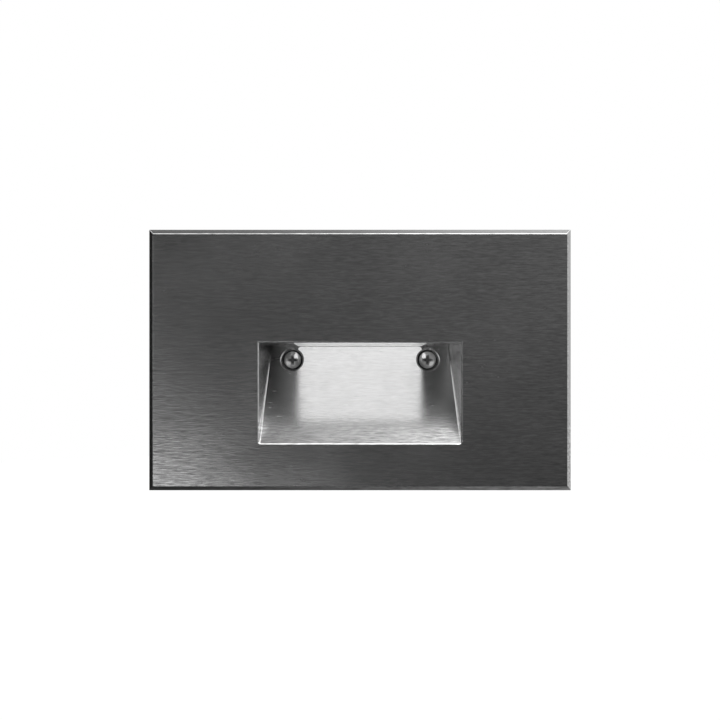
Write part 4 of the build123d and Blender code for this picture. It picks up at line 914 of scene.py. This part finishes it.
def lit_diodes():
    """White diode cases, each with a dish of yellow phosphor in it."""
    boxes = solids_of("leds")
    low, high = boxes[0]
    half = (high - low) / 2
    corners = ((-1, -1), (1, -1), (1, 1), (-1, 1))

    def frame_ring(inset, height):
        return [(x * (half.x - inset), y * (half.y - inset), height) for x, y in corners]

    tall = high.z - low.z
    case = ringed("diode_case", [
        frame_ring(0, 0), frame_ring(0, tall), frame_ring(LED_WALL, tall),
        frame_ring(LED_WALL * 1.7, tall - LED_DISH),
    ])
    dish = ringed("phosphor_dish", [
        frame_ring(LED_WALL * 1.3, tall - LED_DISH * 1.6), frame_ring(LED_WALL * 1.3, tall - LED_DISH * 0.5),
        frame_ring(LED_WALL * 3, tall - LED_DISH * 0.3),
    ])
    places = [((a.x + b.x) / 2, (a.y + b.y) / 2, b.z) for a, b in boxes]
    cases = repeated("diode_cases", case, places, FACING_DOWN, MATERIALS["white_plastic"])
    dishes = repeated("diode_phosphor", dish, places, FACING_DOWN, MATERIALS["led_phosphor"])
    dress("diode_cases", cases, "housing", "white_plastic", "leds")
    dress("diode_phosphor", dishes, "housing", "led_phosphor", "leds")


def finish_nodes():
    """Each CAD node in its own finish, also those that a piece stands for."""
    for name, shown in frame["nodes"].items():
        shown.data.materials.clear()
        shown.data.materials.append(MATERIALS[SLOT_OF[name]])


# ---------------------------------------------------------------- studio

BACKDROP = 1.0                   # as the camera sees it
AMBIENT_FRONT, AMBIENT_BACK = 0.015, 1.2     # in reflections: from in front, and from behind the plate,
BACK_FROM, BACK_FULL = 0.4, 0.9  # which is where a direction's Y rises over these
AMBIENT_DIFFUSE = 0.7            # on dull surfaces, from above the horizon
HORIZON_LOW, HORIZON_HIGH = -0.15, 0.1
SOFTBOXES = (                    # direction to it, half angle to its core and to its edge, brightness
    ((0.42, -0.55, 0.72), 8, 28, 5.0),
    ((-0.08, -0.66, 0.75), 6, 28, 1.8),
    ((0.27, -0.24, 0.93), 6, 24, 0.9),
    ((0.3, 0.13, 0.94), 5, 22, 0.4),
    ((-0.315, -0.865, -0.391), 13, 22, 0.4),
    ((-0.24, -0.934, -0.215), 2, 7, 1.7),
    ((-0.3, -0.81, -0.5), 6, 17, 1.2),
    ((-0.85, -0.52, 0.05), 5, 16, 1.0),
    ((0.0, -1.0, 0.05), 14, 40, 0.032),
    ((0.346, -0.742, 0.574), 10, 50, 0.09),
    ((-0.62, 0.0, 0.78), 5, 16, 2.0),
    ((0.66, 0.0, 0.75), 5, 16, 2.0),
    ((1.0, 0.12, 0.0), 10, 45, 0.65),
    ((0.0, 0.2, 0.98), 8, 30, 0.2),
)


def studio_world():
    """Pale backdrop for the camera, and soft lights in a darker room for the surfaces."""
    world = bpy.data.worlds.new("studio")
    world.use_nodes = True
    tree = world.node_tree
    tree.nodes.clear()
    direction = add(tree, "ShaderNodeTexCoord").outputs["Generated"]
    parts = add(tree, "ShaderNodeSeparateXYZ", {0: direction}).outputs
    light = remap(tree, parts["Y"], BACK_FROM, BACK_FULL, AMBIENT_FRONT, AMBIENT_BACK, smooth=True)
    for towards, core, edge, strength in SOFTBOXES:
        facing = vector_math(tree, "DOT_PRODUCT", direction, Vector(towards).normalized()).outputs["Value"]
        blob = remap(tree, facing, cos(radians(edge)), cos(radians(core)), 0.0, strength, smooth=True)
        light = math(tree, "ADD", light, blob)
    rays = add(tree, "ShaderNodeLightPath").outputs
    above = remap(tree, parts["Z"], HORIZON_LOW, HORIZON_HIGH, 0.0, AMBIENT_DIFFUSE)
    soft = math(tree, "MULTIPLY", rays["Is Diffuse Ray"], above)
    seen = blend(tree, rays["Is Camera Ray"], math(tree, "ADD", light, soft), BACKDROP)
    background = add(tree, "ShaderNodeBackground", {"Color": grey(1.0), "Strength": seen})
    output = add(tree, "ShaderNodeOutputWorld")
    tree.links.new(background.outputs[0], output.inputs["Surface"])
    bpy.context.scene.world = world


FLOOR_Z = -0.34
FLOOR_R = 1.9
FLOOR_AROUND = 96
FLOOR_BACK = 1.5                 # of its middle, so that it doesn't hide the low lights in front
FLOOR_SEEN = 0.97                # as the camera sees it
FLOOR_GREY, FLOOR_ROUGH = 0.01, 0.9      # as its own surface
POOL_X, POOL_Y = 0.1, 0.08       # to the right of the plate's middle and near the wall it glows a little
POOL_GLOW = 0.2


def pale_floor():
    """Round floor well below the plate, pale to the camera and dark in reflections but for its pool."""
    bm = bmesh.new()
    bmesh.ops.create_circle(bm, cap_ends=True, segments=FLOOR_AROUND, radius=FLOOR_R)
    mesh = bpy.data.meshes.new("floor")
    bm.to_mesh(mesh)
    bm.free()
    mesh.transform(Matrix.Translation((0.0, FLOOR_BACK, FLOOR_Z)))
    floor = new_object("floor", mesh)
    material, tree, shader = new_material("floor_paint")
    shader.inputs["Base Color"].default_value = grey(FLOOR_GREY)
    shader.inputs["Roughness"].default_value = FLOOR_ROUGH
    place = add(tree, "ShaderNodeTexCoord").outputs["Object"]
    parts = add(tree, "ShaderNodeSeparateXYZ", {0: place}).outputs
    away = math(tree, "ABSOLUTE", parts["Y"])
    pool = math(tree, "MULTIPLY", remap(tree, parts["X"], -POOL_X, POOL_X, 0.0, POOL_GLOW),
                remap(tree, away, POOL_Y, 2 * POOL_Y, 1.0, 0.0))
    camera_ray = add(tree, "ShaderNodeLightPath").outputs["Is Camera Ray"]
    shader.inputs["Emission Color"].default_value = grey(1.0)
    feed(tree, shader.inputs["Emission Strength"], blend(tree, camera_ray, pool, FLOOR_SEEN))
    mesh.materials.append(material)


def colour_as_measured():
    """Plain display transform, so that a white backdrop stays white."""
    bpy.context.scene.view_settings.view_transform = "Standard"
    bpy.context.scene.view_settings.look = "None"


# ---------------------------------------------------------------- everything in order

finish_nodes()
faceplate()
softened_pieces()
threaded_screws()
wound_inductor()
knurled_inserts()
lit_diodes()
photo_camera()
studio_world()
pale_floor()
colour_as_measured()
